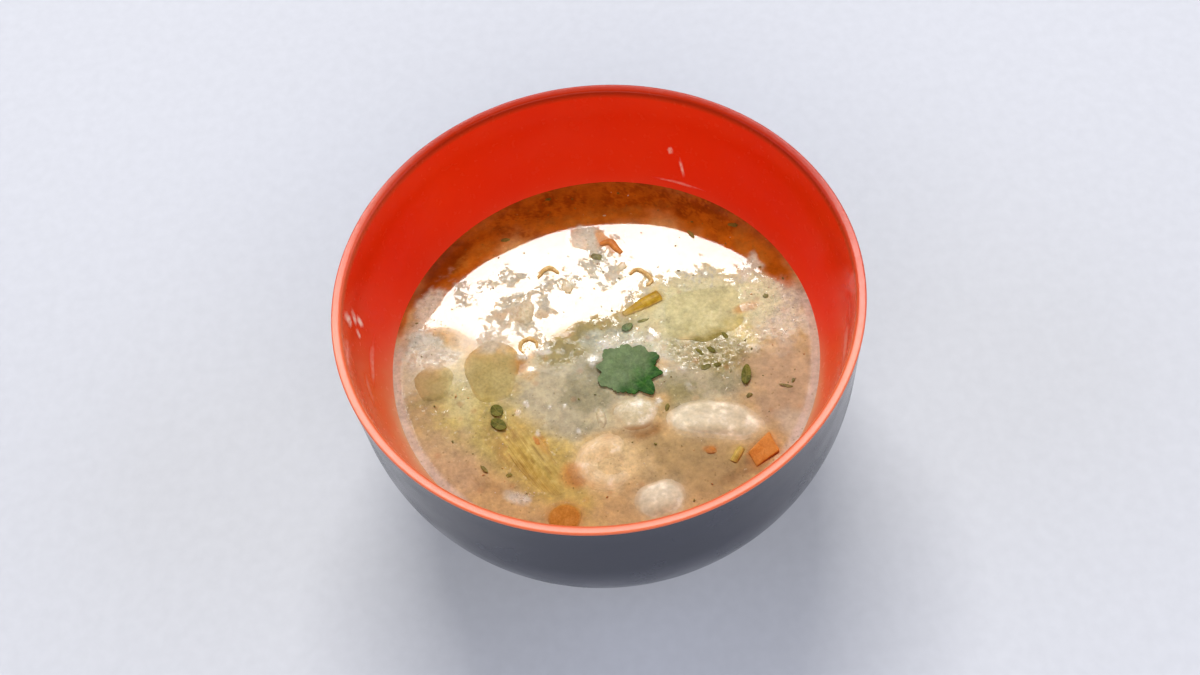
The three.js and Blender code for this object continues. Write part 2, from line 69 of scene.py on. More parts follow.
@cache
def linear(code: str) -> Colour:
    """Turns an sRGB hex colour into a linear one.

    Args:
        code: The colour as "#RRGGBB".

    Returns:
        Red, green, blue and an alpha of 1.
    """
    values = [int(code[i : i + 2], 16) / 255 for i in (1, 3, 5)]
    red, green, blue = (v / 12.92 if v <= 0.04045 else ((v + 0.055) / 1.055) ** 2.4 for v in values)
    return (red, green, blue, 1.0)


def feed(node: Node, inputs: Inputs) -> None:
    """Links or sets inputs of a node.

    Args:
        node: The node.
        inputs: For each input, the socket that feeds it or the value it is set to, by the input's
            name or number, or in order from the first.
    """
    for name, value in inputs.items() if isinstance(inputs, dict) else enumerate(inputs):
        if isinstance(value, NodeSocket):
            node.id_data.links.new(value, node.inputs[name])
        else:
            node.inputs[name].default_value = value


def add(
    tree: NodeTree,
    kind: str,
    inputs: Inputs = (),
    output: str | int = 0,
    stops: Sequence[tuple[float, str]] = (),
    **settings: object,
) -> NodeSocket | None:
    """Adds one node with its settings and links.

    Args:
        tree: The node tree that gets the node.
        kind: The node's type, without the "ShaderNode" that it starts with.
        inputs: What its inputs are linked or set to.
        output: Name or number of the output that is handed back.
        stops: Position and sRGB hex colour of each stop of a colour ramp, in order.
        settings: The node's own properties.

    Returns:
        The new node's output, if it has any.
    """
    node = tree.nodes.new("ShaderNode" + kind)
    for name, value in settings.items():
        setattr(node, name, value)
    feed(node, inputs)
    for index, (position, code) in enumerate(stops):
        ramp = node.color_ramp.elements
        stop = ramp[index] if index < 2 else ramp.new(position)
        stop.position = position
        stop.color = linear(code)
    return node.outputs[output] if node.outputs else None


def blank_material(name: str) -> tuple[Material, NodeTree, Node]:
    """Makes a material with nothing but its shader and output.

    Args:
        name: The real material's name.

    Returns:
        The material, its node tree and its shader.
    """
    material = bpy.data.materials.new(name)
    material.use_nodes = True
    tree = material.node_tree
    tree.nodes.clear()
    surface = add(tree, "BsdfPrincipled")
    add(tree, "OutputMaterial", {"Surface": surface})
    return material, tree, surface.node


# ---- Modelling by operators ----


def begin(name: str) -> Object:
    """Names the object that was just added.

    Args:
        name: Its new name.

    Returns:
        The object.
    """
    piece = bpy.context.object
    piece.name = piece.data.name = name
    return piece


def ball(name: str, segments: int, rings: int) -> Object:
    """Models a ball of 1 mm radius, from which small pieces are pressed.

    Args:
        name: The new object's name.
        segments: Number of steps round it.
        rings: Number of steps from pole to pole.

    Returns:
        The ball.
    """
    bpy.ops.object.select_all(action="DESELECT")
    bpy.ops.mesh.primitive_uv_sphere_add(segments=segments, ring_count=rings, radius=MM)
    return begin(name)


def copy_of(model: Object) -> Object:
    """Copies an object together with its mesh.

    Args:
        model: The object to copy.

    Returns:
        The copy.
    """
    twin = model.copy()
    twin.data = model.data.copy()
    bpy.context.scene.collection.objects.link(twin)
    return twin


def points(piece: Object) -> list[Vector]:
    """The points of a mesh, in millimetres."""
    return [vertex.co / MM for vertex in piece.data.vertices]


def torn(point: Vector) -> float:
    """How uneven something torn or crinkled is at a point, from about -1 to 1."""
    return noise.fractal(point, 0.9, 2.0, 3)


def turned(name: str, profile: Sequence[Spot], segments: int) -> Object:
    """Spins a profile round +Z into a closed body.

    Args:
        name: The new object's name.
        profile: Radius and height of each point in millimetres, in order.
        segments: Number of steps round the axis.

    Returns:
        The new object.
    """
    bpy.ops.object.select_all(action="DESELECT")
    bpy.ops.mesh.primitive_plane_add(size=MM)
    piece = begin(name)
    bpy.ops.object.mode_set(mode="EDIT")
    bpy.ops.mesh.select_all(action="SELECT")
    bpy.ops.mesh.merge(type="CENTER")
    before = (0.0, 0.0)
    for step, (radius, height) in enumerate(profile):
        move = ((radius - before[0]) * MM, 0.0, (height - before[1]) * MM)
        if step == 0:
            bpy.ops.transform.translate(value=move)
        else:
            bpy.ops.mesh.extrude_vertices_move(TRANSFORM_OT_translate={"value": move})
        before = (radius, height)
    bpy.ops.mesh.select_all(action="SELECT")
    bpy.ops.mesh.spin(steps=segments, angle=2 * math.pi, center=(0, 0, 0), axis=(0, 0, 1))
    bpy.ops.mesh.select_all(action="SELECT")
    bpy.ops.mesh.remove_doubles(threshold=0.002 * MM)
    bpy.ops.mesh.normals_make_consistent(inside=False)
    bpy.ops.object.mode_set(mode="OBJECT")
    return piece


def reshape(piece: Object, place: Place) -> None:
    """Moves every point of a mesh.

    Args:
        piece: The object to change.
        place: Takes a point in millimetres and returns where it goes.
    """
    for vertex in piece.data.vertices:
        vertex.co = place(vertex.co / MM) * MM
    piece.data.update()


def pick(*pieces: Object) -> None:
    """Selects objects and nothing else.

    Args:
        pieces: The objects, of which the first becomes the active one.
    """
    bpy.ops.object.select_all(action="DESELECT")
    for piece in pieces:
        piece.select_set(True)
    bpy.context.view_layer.objects.active = pieces[0]


def smooth(piece: Object, degrees: float) -> None:
    """Shades a mesh smoothly, but for edges sharper than the angle."""
    pick(piece)
    bpy.ops.object.shade_smooth_by_angle(angle=math.radians(degrees))


def apply_modifier(piece: Object, kind: str, **settings: object) -> None:
    """Adds a modifier to a piece and applies it.

    Args:
        piece: The object to change.
        kind: The modifier's type.
        settings: The modifier's properties.
    """
    pick(piece)
    modifier = piece.modifiers.new(kind.lower(), kind)
    for name, value in settings.items():
        setattr(modifier, name, value)
    bpy.ops.object.modifier_apply(modifier=modifier.name)


def joined(name: str, pieces: Sequence[Object]) -> Object:
    """Joins objects into one mesh.

    Args:
        name: The joined object's name.
        pieces: The objects, which are used up.

    Returns:
        The joined object.
    """
    pick(*pieces)
    bpy.ops.object.join()
    return begin(name)


def arc(centre: Spot, radii: Spot, start: float, end: float, steps: int) -> list[Spot]:
    """Points along part of an ellipse.

    Args:
        centre: Middle of the ellipse, as radius and height.
        radii: Its half sizes.
        start: First angle in degrees.
        end: Last angle in degrees.
        steps: Number of steps between them.

    Returns:
        Radius and height of each point.
    """
    angles = [math.radians(start + (end - start) * i / steps) for i in range(steps + 1)]
    return [(centre[0] + radii[0] * math.cos(a), centre[1] + radii[1] * math.sin(a)) for a in angles]


def ease(low: float, high: float, value: float) -> float:
    """Rises smoothly from 0 at low to 1 at high."""
    t = min(1.0, max(0.0, (value - low) / (high - low)))
    return t * t * (3 - 2 * t)


def store(piece: Object, name: str, kind: str, values: Iterable[Sequence[float] | float]) -> None:
    """Stores one value for each point of a mesh.

    Args:
        piece: The object that gets the attribute.
        name: The attribute's name.
        kind: FLOAT, FLOAT_VECTOR or FLOAT_COLOR.
        values: The values in the order of the points.
    """
    attribute = piece.data.attributes.new(name, kind, "POINT")
    keys = {"FLOAT": "value", "FLOAT_VECTOR": "vector", "FLOAT_COLOR": "color"}
    flat: list[float] = []
    for value in values:
        flat.extend([value] if isinstance(value, int | float) else value)
    attribute.data.foreach_set(keys[kind], flat)


# ---- The broth's skin: its height and its colours ----


class Tint(Enum):
    """The colours that the broth takes on where its parts have gathered."""

    CLEAR = "#B79660"  # nothing stirred up
    AMBER_SHADE = "#A2520D"  # painted shade of the back rim and red light from the wall, over deep broth
    EMBER_SHADE = "#7C3404"  # the same painted shade, deeper
    OLIVE = "#AF9F58"  # herb juice and fat
    MOSS = "#7F7339"  # the same, thicker
    GOLD = "#B2984C"  # juice of the lemongrass
    STRAW = "#B6B082"  # fat from the leaves
    MILKY = "#A69C7C"  # coconut milk, thin
    SAGE = "#7C7654"  # coconut milk and herb juice
    PINK = "#AC906C"  # smooth pink; near the walls, painted red light bounced off them
    CREAM = "#B8AC94"  # clouds of coconut milk
    PALE = "#A09C88"  # the same, thick
    HAZE = "#A9AE9C"  # froth, thin
    FOAM_HIGHLIGHT = "#C2BDAE"  # froth, with a painted highlight
    FLESH = "#CDB27E"  # shreds of prawn
    EDGE_SHEEN = "#BCA69A"  # painted soft highlight of the broth's edge against the red wall
    BROWN = "#A08654"  # clearer, at the front
    RUST = "#AC7028"  # juice of carrot, chilli and prawn
    TAN = "#9A8256"  # thin broth over the red wall
    UMBER = "#80561C"  # a darker brown


@dataclass(frozen=True)
class Patch:
    """A soft-edged oval of the broth with a look of its own."""

    x: float
    y: float
    long: float  # half length
    wide: float  # half width
    turn: float  # degrees
    tint: Tint
    curd: float = 0.2  # how grainy the broth is there
    strength: float = 1.0
    ragged: float = 0.35
    dull: float = 0.0  # how far froth or curds take away the mirror of the skin
    streak: float = 0.0  # how far it breaks up into streaks along its length
    broken: float = 0.0  # how far it breaks up into islands


@dataclass(frozen=True)
class Mound:
    """A low mound of froth on the broth, with a painted highlight in its middle."""

    x: float
    y: float
    radius: float
    rise: float
    foam_and_highlight: float = 0.95  # how white its middle is: froth with a painted highlight

    def away(self, x: float, y: float) -> float:
        """How far a spot is from the mound's middle, in radii."""
        return math.hypot(x - self.x, y - self.y) / self.radius


@dataclass(frozen=True)
class Look:
    """How the broth looks at one spot."""

    tint: Colour
    curd: float  # how grainy it is
    dull: float


PATCHES = (
    # Painted shade of the back rim and red light bounced off the back wall, over the deep broth along it
    Patch(0, 46, 34, 14, 0, Tint.AMBER_SHADE, 0, 1, 0.15),
    Patch(-33, 34, 19, 9, 43, Tint.AMBER_SHADE, 0, 1, 0.15),
    Patch(35, 32, 21, 10, -44, Tint.AMBER_SHADE, 0, 1, 0.2),
    Patch(45, 16, 4, 8, 12, Tint.AMBER_SHADE, 0, 1, 0.3),
    Patch(-12, 43, 16, 6, 12, Tint.EMBER_SHADE, 0, 0.6, 0.7, 0, 0, 1),
    Patch(14, 45, 18, 6, -8, Tint.EMBER_SHADE, 0, 0.6, 0.7, 0, 0, 1),
    Patch(34, 34, 14, 5, -44, Tint.EMBER_SHADE, 0, 0.6, 0.7, 0, 0, 1),
    Patch(-38, 30, 11, 3.5, 50, Tint.EMBER_SHADE, 0, 0.9, 0.4),
    Patch(-30, 33, 8, 2, 35, Tint.RUST, 0, 0.45, 0.7, 0, 0, 0.6),
    Patch(0, 40.5, 18, 2.4, 0, Tint.RUST, 0, 0.4, 0.7, 0, 0, 0.6),
    Patch(40, 24, 3, 9, 22, Tint.RUST, 0, 0.4, 0.7, 0, 0, 0.6),
    # Thick, yellow to olive broth over the left half
    Patch(-27, -16, 22, 13, -35, Tint.OLIVE, 0.5, 0.95),
    Patch(-36, -13, 10, 11, 0, Tint.OLIVE, 0.5, 0.9),
    Patch(-35.5, -3, 4.5, 12, 5, Tint.STRAW, 0.3, 0.6),
    Patch(-46, -4, 6, 14, 0, Tint.TAN, 0.4, 0.95),
    Patch(-42, -6.8, 5, 1.6, 8, Tint.MOSS, 0.3, 0.5),
    # Milky broth in the middle
    Patch(-9, -11, 15, 11, -10, Tint.MILKY),
    Patch(-14, -16, 8, 6, 0, Tint.MILKY),
    Patch(-7, -3, 9, 6, 20, Tint.MILKY, 0.2, 0.9),
    Patch(-5.5, -9.5, 6, 8.5, 0, Tint.SAGE, 0.3, 0.75, 0.6),
    Patch(22, -11, 13, 8, -8, Tint.MILKY, 0.3, 0.95),
    Patch(16, -12, 5, 4, -20, Tint.SAGE, 0.3, 0.6, 0.5),
    # Herb juice and froth behind the leaf
    Patch(-7, 3, 10, 4.5, 22, Tint.MOSS, 0.3, 0.9, 0.35, 0.7),
    Patch(3, 7.5, 11, 4, 8, Tint.MOSS, 0.5, 0.75, 0.35, 0.85),
    Patch(5, 2.5, 9, 4, 0, Tint.HAZE, 0.8, 0.75, 0.5, 0.85),
    Patch(15, -1, 4, 4, 0, Tint.HAZE, 0.6, 0.6, 0.6, 0.6),
    # The pale field of the cabbage and the coarse zone in front of it
    Patch(25.5, 8.5, 18, 12, -6, Tint.STRAW, 0.4, 1, 0.3, 0.9),
    Patch(33, 14, 9, 6, -20, Tint.STRAW, 0.6, 0.7, 0.6, 0.7, 0, 0.6),
    Patch(20, 14, 8, 5, 10, Tint.STRAW, 0.6, 0.8, 0.6, 0.9, 0, 0.6),
    Patch(35, 0, 7, 6, 0, Tint.OLIVE, 0.8, 0.8, 0.6, 0.5),
    Patch(27, -4.5, 11, 6, -14, Tint.MOSS, 0.9, 0.95, 0.5, 0.4),
    Patch(16, -15, 6, 4.5, 10, Tint.MOSS, 0.4, 0.6, 0.6),
    Patch(27, -13, 6, 3, -10, Tint.SAGE, 0.5, 0.6, 0.6),
    # Grainy froth along the right wall
    Patch(43, 5, 7, 10, 0, Tint.CREAM, 1, 0.95, 0.5, 0.8),
    Patch(39, 9, 5, 7, 0, Tint.STRAW, 1, 0.8, 0.5, 0.8),
    # Smooth pink broth at the right and the lower left: painted red light bounced off the wall
    Patch(42, -16, 11, 14, 10, Tint.PINK, 0.05, 0.95),
    Patch(42, -27, 6, 4, -50, Tint.CREAM, 0.05, 0.55),
    Patch(-34, -32, 13, 7, -42, Tint.CLEAR, 0.15, 0.7),
    Patch(-40, -24, 8, 11, 30, Tint.PINK, 0.3, 0.7),
    Patch(-44.5, 12, 4.5, 9, -15, Tint.PINK, 0.2, 0.95, 0.35, 0.5),
    # Clearer brown broth at the front
    Patch(12, -31, 17, 7, -8, Tint.BROWN, 0.12, 0.95),
    Patch(22, -36, 10, 5, 20, Tint.BROWN, 0.12, 0.9),
    Patch(-2, -42, 20, 5, 0, Tint.CLEAR, 0.15, 0.8),
    # A darker brown band just in front of the mushroom cap
    Patch(6, -22.6, 5.5, 2.2, 4, Tint.UMBER, 0.2, 0.9, 0.2),
    # Cream clouds among the shreds at the back left
    Patch(-19, 15, 8, 8, 20, Tint.PALE, 0.9, 0.9, 0.9, 0.85, 0, 0.35),
    Patch(-29, 24, 8, 4, 10, Tint.PALE, 0.9, 0.9, 0.9, 0.8, 0, 0.9),
    Patch(-11, 22, 7, 5, 30, Tint.PALE, 0.9, 0.9, 0.9, 0.85, 0, 0.8),
    Patch(2, 28, 7, 7, 0, Tint.PALE, 0.7, 0.9, 0.9, 0.85, 0, 0.8),
    Patch(9, 15, 6, 4, 30, Tint.PALE, 0.7, 0.8, 0.9, 0.8, 0, 0.9),
    Patch(24, 18, 9, 4, -8, Tint.PALE, 0.7, 0.8, 0.9, 0.75, 0, 0.8),
    Patch(36, 17, 5, 4, 20, Tint.CREAM, 0.7, 0.8, 0.9, 0.75, 0, 0.8),
    Patch(-18, 13.5, 6, 2, -12, Tint.PINK, 0.6, 0.7, 0.9, 0.9, 0, 0.3),
    Patch(-41.5, 20, 3, 9, -28, Tint.CREAM, 0.8, 0.9, 0.9, 0.7, 0, 0.2),
    Patch(-43, 8, 6, 4, 0, Tint.HAZE, 0.5, 0.7, 0.6, 0.6),
    Patch(-27, 8.5, 7, 3.5, 0, Tint.CREAM, 0.5, 0.9, 0.6, 0.7),
    Patch(-41, 4.5, 6, 3, 0, Tint.CREAM, 0.5, 0.8, 0.6, 0.7),
    # Painted shade and red light from the wall, in the dark gap along the left wall
    Patch(-48.6, 18, 2.2, 9, -20, Tint.AMBER_SHADE, 0.1, 0.95, 0.5),
    Patch(-24.5, -35, 3, 1.8, -30, Tint.CREAM, 0.6, 0.9, 0.5, 0.5),
    Patch(-1, 34, 4, 3.4, 0, Tint.CREAM, 0.6, 0.8, 0.7, 0.95),
    Patch(35, 7, 3.5, 1.4, 10, Tint.RUST, 0.4, 0.6),
    # Streaks of fibre and juice round the lemongrass
    Patch(-18.5, -28, 18, 7.5, -56, Tint.GOLD, 0.5, 0.95, 0.2, 0.2),
    Patch(-21.5, -25, 13, 5, -58, Tint.UMBER, 0.3, 0.55, 0.2, 0.2, 1),
    Patch(-12, -36.5, 6, 2.5, -40, Tint.GOLD, 0.3, 0.8, 0.3),
    Patch(-1.5, -29.5, 8.5, 6.5, -10, Tint.FLESH, 0.3, 0.85, 0.3),
    # Juice of the carrot, chilli and prawn
    Patch(-21.5, -0.8, 2.4, 2, 0, Tint.RUST, 0.2, 0.8),
    Patch(-17.5, -22, 1.6, 3.4, 24, Tint.RUST, 0.3, 0.7),
    Patch(-10.5, -31.5, 3.6, 3.2, 0, Tint.RUST, 0.3, 0.95),
    Patch(29, -35, 6, 2.4, 30, Tint.UMBER, 0.2, 0.5, 0.5),
    Patch(-30, -30, 6, 3, -40, Tint.UMBER, 0.3, 0.35, 0.7, 0, 0, 0.6),
    Patch(2, 34.5, 2.4, 3.6, 10, Tint.PALE, 0.5, 0.9, 0.9, 0.8),
    Patch(3.6, 33, 1.1, 4, 20, Tint.RUST, 0.5, 0.8, 0.9, 0.9),
    Patch(21, -29.6, 1.6, 1, 0, Tint.RUST, 0.3, 0.9),
)

MOUNDS = (
    Mound(43, 9, 6, 0.3, 0),
    Mound(-42, 14, 6, 0.25, 0),
    Mound(-22.5, -36, 1.53, 0.054, 0.56),
    Mound(0.3, 2, 1.61, 0.045, 0.76),
    Mound(12, 2.4, 1.7, 0.045, 0.76),
    Mound(-3, -2.5, 1.27, 0.04, 0.68),
    Mound(-14.8, 3, 1.87, 0.045, 0.76),
    Mound(-20, 1.8, 1.36, 0.036, 0.76),
    Mound(-18, -2.7, 0.85, 0.036, 0.56),
    Mound(13.5, -8, 0.77, 0.036, 0.76),
    Mound(11, -15.4, 0.94, 0.036, 0.76),
    Mound(-8.5, -20.5, 0.68, 0.032, 0.76),
    Mound(-18, -19.5, 0.77, 0.032, 0.76),
    Mound(-22, -13.5, 0.68, 0.032, 0.64),
    Mound(-20, -11.5, 0.85, 0.032, 0.64),
    Mound(-14.5, -13.2, 0.59, 0.027, 0.64),
    Mound(-11, -13.5, 0.68, 0.027, 0.64),
    Mound(18, -8, 1.02, 0.022, 0.4),
    Mound(18.5, -13, 1.36, 0.018, 0.32),
    Mound(35.5, -5, 1.53, 0.027, 0.32),
)


@dataclass
class Skin:
    """The broth's skin: how high it stands and how it looks at each spot."""

    radius: float = 50.86
    climb: float = 0.05  # how far the broth climbs the wall
    climb_width: float = 0.8
    edge_sheen_from: float = 2.4  # from the wall, where the painted highlight along the near edge starts
    edge_sheen_to: float = 0.6
    edge_sheen_share: float = 0.6  # how strongly the near edge takes on the painted highlight
    swell: float = 0.02
    edge: Spot = (0.55, 1.35)  # where a patch starts to fade and where it ends, in half sizes
    curd: float = 0.25  # how grainy the broth is between the patches
    ragged_by: float = 6.0  # millimetres across the unevenness of the patches' edges
    froth_by: float = 1.4  # across that of the mounds' edges
    islands_by: float = 3.2  # across the islands of broken patches
    fibre_by: Spot = (7.0, 0.7)  # along and across the fibres of streaked patches

    def from_wall(self, x: float, y: float) -> float:
        """How far a spot is from the wall, in millimetres."""
        return max(0.0, self.radius - math.hypot(x, y))

    def height(self, x: float, y: float) -> float:
        """How far the skin stands above the broth's level.

        Args:
            x: Millimetres to the right.
            y: Millimetres to the far side.

        Returns:
            Millimetres above the level.
        """
        height = self.climb * math.exp(-self.from_wall(x, y) / self.climb_width)
        height += self.swell * math.sin(x / 3.7) * math.cos(y / 4.3 + 0.6)
        for mound in MOUNDS:
            away = mound.away(x, y)
            if away < 3:
                height += mound.rise * math.exp(-away * away)
        return height

    def look(self, x: float, y: float) -> Look:
        """The broth's look at a spot.

        Args:
            x: Millimetres to the right.
            y: Millimetres to the far side.

        Returns:
            Its tint, graininess and dullness.
        """
        colour = Vector(linear(Tint.CLEAR.value)[:3])
        curd, dull = self.curd, 0.0
        wobble = noise.fractal(Vector((x / self.ragged_by, y / self.ragged_by, 3.1)), 0.8, 2.0, 4)
        fine = noise.fractal(Vector((x / self.froth_by, y / self.froth_by, 5.7)), 0.8, 2.0, 3)
        islands = noise.fractal(Vector((x / self.islands_by, y / self.islands_by, 1.3)), 0.35, 2.2, 5)
        for patch in PATCHES:
            turn = math.radians(patch.turn)
            dx, dy = x - patch.x, y - patch.y
            along = (dx * math.cos(turn) + dy * math.sin(turn)) / patch.long
            across = (dy * math.cos(turn) - dx * math.sin(turn)) / patch.wide
            away = math.hypot(along, across) + patch.ragged * wobble
            if away < self.edge[1]:
                share = patch.strength * (1 - ease(*self.edge, away))
                if patch.streak:
                    fibre, breadth = self.fibre_by
                    fibres = Vector((along * patch.long / fibre, across * patch.wide / breadth, 8.3))
                    share *= 1 - patch.streak * ease(-0.2, 0.5, torn(fibres))
                share *= 1 - patch.broken * ease(-0.12, 0.12, islands)
                colour = colour.lerp(Vector(linear(patch.tint.value)[:3]), share)
                curd += (patch.curd - curd) * share
                dull += (patch.dull - dull) * share
        # White middles of the mounds: froth with painted highlights
        for mound in MOUNDS:
            away = mound.away(x, y)
            if away < 2:
                share = mound.foam_and_highlight * (1 - ease(0.1, 1.3, away + 0.7 * fine))
                colour = colour.lerp(Vector(linear(Tint.FOAM_HIGHLIGHT.value)[:3]), share)
                dull = max(dull, share)
        # Painted soft highlight along the broth's near edge by the wall
        edge_sheen = (1 - ease(self.edge_sheen_to, self.edge_sheen_from, self.from_wall(x, y))) * (1 - ease(4.0, 16.0, y))
        colour = colour.lerp(Vector(linear(Tint.EDGE_SHEEN.value)[:3]), self.edge_sheen_share * edge_sheen)
        dull = max(dull, edge_sheen)
        return Look((*colour, 1.0), curd, dull)


SKIN = Skin()


# ---- Finishes ----


@dataclass(frozen=True)
class RedLacquer:
    """Vermilion lacquer inside the bowl: glossy, with a faint ripple and dull spots from washing."""

    colour: str = "#DD2505"
    clouded: str = "#E02D07"
    sheen_orange: str = "#D25414"  # painted sheen: the red turned orange on the near wall and along the lip
    film: str = "#C49A70"  # a film of soup just over the waterline
    lip_highlight: str = "#D4663E"  # painted highlight on the near part of the lip
    lip_shade: str = "#8C1404"  # painted shade on the far part of the lip
    roughness: float = 0.2
    lip_roughness: float = 0.36  # the lip is dulled by use
    dulling: float = 0.12  # how much rougher the dull spots are
    gloss: float = 0.14  # how strongly the wall mirrors
    lip_gloss: float = 0.55  # and the near part of the lip
    peel: float = 0.008  # millimetres of relief of the sprayed skin

    def material(self) -> Material:
        """Builds the lacquer.

        Returns:
            The material, which reads the painted sheen, the soup's film, and the painted highlight and shade
            of the lip at each place of the bowl.
        """
        material, tree, shader = blank_material("vermilion_lacquer")
        place = add(tree, "TexCoord", output="Object")
        wall_sheen, soup, lip, far_lip_shade = (
            add(tree, "Attribute", output="Fac", attribute_name=name)
            for name in ("wall_sheen", "soup", "lip", "far_lip_shade")
        )
        # Clouding of the pigment, about 25 mm across
        clouds = add(tree, "TexNoise", {"Vector": place, "Scale": 40.0, "Detail": 4.0})
        colour = add(tree, "ValToRGB", [clouds], stops=[(0.35, self.colour), (0.75, self.clouded)])
        # Painted sheen and the film of soup run unevenly over the wall
        streaks = add(tree, "TexNoise", {"Vector": place, "Scale": 110.0, "Detail": 5.0})
        uneven = add(tree, "MapRange", [streaks, 0.3, 0.7, 0.7, 1.15])
        lightened, soiled = (
            add(tree, "Math", [share, uneven], operation="MULTIPLY", use_clamp=True)
            for share in (wall_sheen, soup)
        )
        # The lip gets a painted highlight on its near part and painted shade on its far part
        layers = ((lightened, self.sheen_orange), (soiled, self.film), (lip, self.lip_highlight), (far_lip_shade, self.lip_shade))
        for share, layer in layers:
            colour = add(tree, "Mix", {0: share, 6: colour, 7: linear(layer)}, 2, data_type="RGBA")
        # Dull spots of 2 mm where the gloss has gone, and a lip that is dull all round
        spots = add(tree, "TexNoise", {"Vector": place, "Scale": 500.0, "Detail": 3.0})
        wall = add(tree, "MapRange", [spots, 0.45, 0.75, self.roughness, self.roughness + self.dulling])
        # Orange peel of sprayed lacquer, 1.5 mm across and a few microns deep
        peel = add(tree, "TexNoise", {"Vector": place, "Scale": 650.0, "Detail": 1.0})
        feed(shader, {
            "Base Color": colour,
            "Roughness": add(tree, "Mix", {0: lip, 2: wall, 3: self.lip_roughness}, data_type="FLOAT"),
            "Specular IOR Level": add(tree, "MapRange", [lip, 0.0, 1.0, self.gloss, self.lip_gloss]),
            "Normal": add(tree, "Bump", {"Height": peel, "Distance": self.peel * MM}),
            "IOR": 1.45,
        })
        return material


@dataclass(frozen=True)
class BlackLacquer:
    """Near-black lacquer outside: satin, with a film of dust and rubbed places."""

    colour: str = "#20222E"
    lightened: str = "#2A2D3A"
    smoothest: float = 0.16
    roughest: float = 0.34
    peel: float = 0.01  # millimetres of relief of the sprayed skin

    def material(self) -> Material:
        """Builds the lacquer.

        Returns:
            The material.
        """
        material, tree, shader = blank_material("black_lacquer")
        place = add(tree, "TexCoord", output="Object")
        clouds = add(tree, "TexNoise", {"Vector": place, "Scale": 90.0, "Detail": 5.0})
        peel = add(tree, "TexNoise", {"Vector": place, "Scale": 700.0, "Detail": 2.0})
        feed(shader, {
            "Base Color": add(tree, "ValToRGB", [clouds], stops=[(0.35, self.colour), (0.8, self.lightened)]),
            "Roughness": add(tree, "MapRange", [clouds, 0.3, 0.8, self.smoothest, self.roughest]),
            "Normal": add(tree, "Bump", {"Height": peel, "Distance": self.peel * MM}),
            "IOR": 1.5,
        })
        return material


def clouded_tint(tree: NodeTree, tint: NodeSocket, curd: NodeSocket | float) -> NodeSocket:
    """Breaks the tint of the broth up into clouds and grit.

    Args:
        tree: The material's nodes.
        tint: The broth's tint.
        curd: How grainy the broth is, from 0 to 1.

    Returns:
        The tint with its clouds and grit.
    """
    place = add(tree, "TexCoord", output="Object")
    # Clouds of 3 mm, lighter and darker than the tint
    clouds = add(tree, "TexNoise", {"Vector": place, "Scale": 330.0, "Detail": 6.0, "Roughness": 0.62})
    shade = add(tree, "MapRange", [clouds, 0.3, 0.7, 0.76, 1.26])
    # Grit of 0.5 to 1 mm, stronger where the broth is grainy
    grit = add(tree, "TexNoise", {"Vector": place, "Scale": 1000.0, "Detail": 4.0, "Roughness": 0.75})
    swing = add(tree, "Math", [grit, 0.5], operation="SUBTRACT")
    strength = add(tree, "MapRange", [curd, 0.0, 1.0, 0.5, 1.9])
    gritty = add(tree, "Math", [swing, strength, shade], operation="MULTIPLY_ADD")
    return add(tree, "VectorMath", {0: tint, "Scale": gritty}, operation="SCALE")


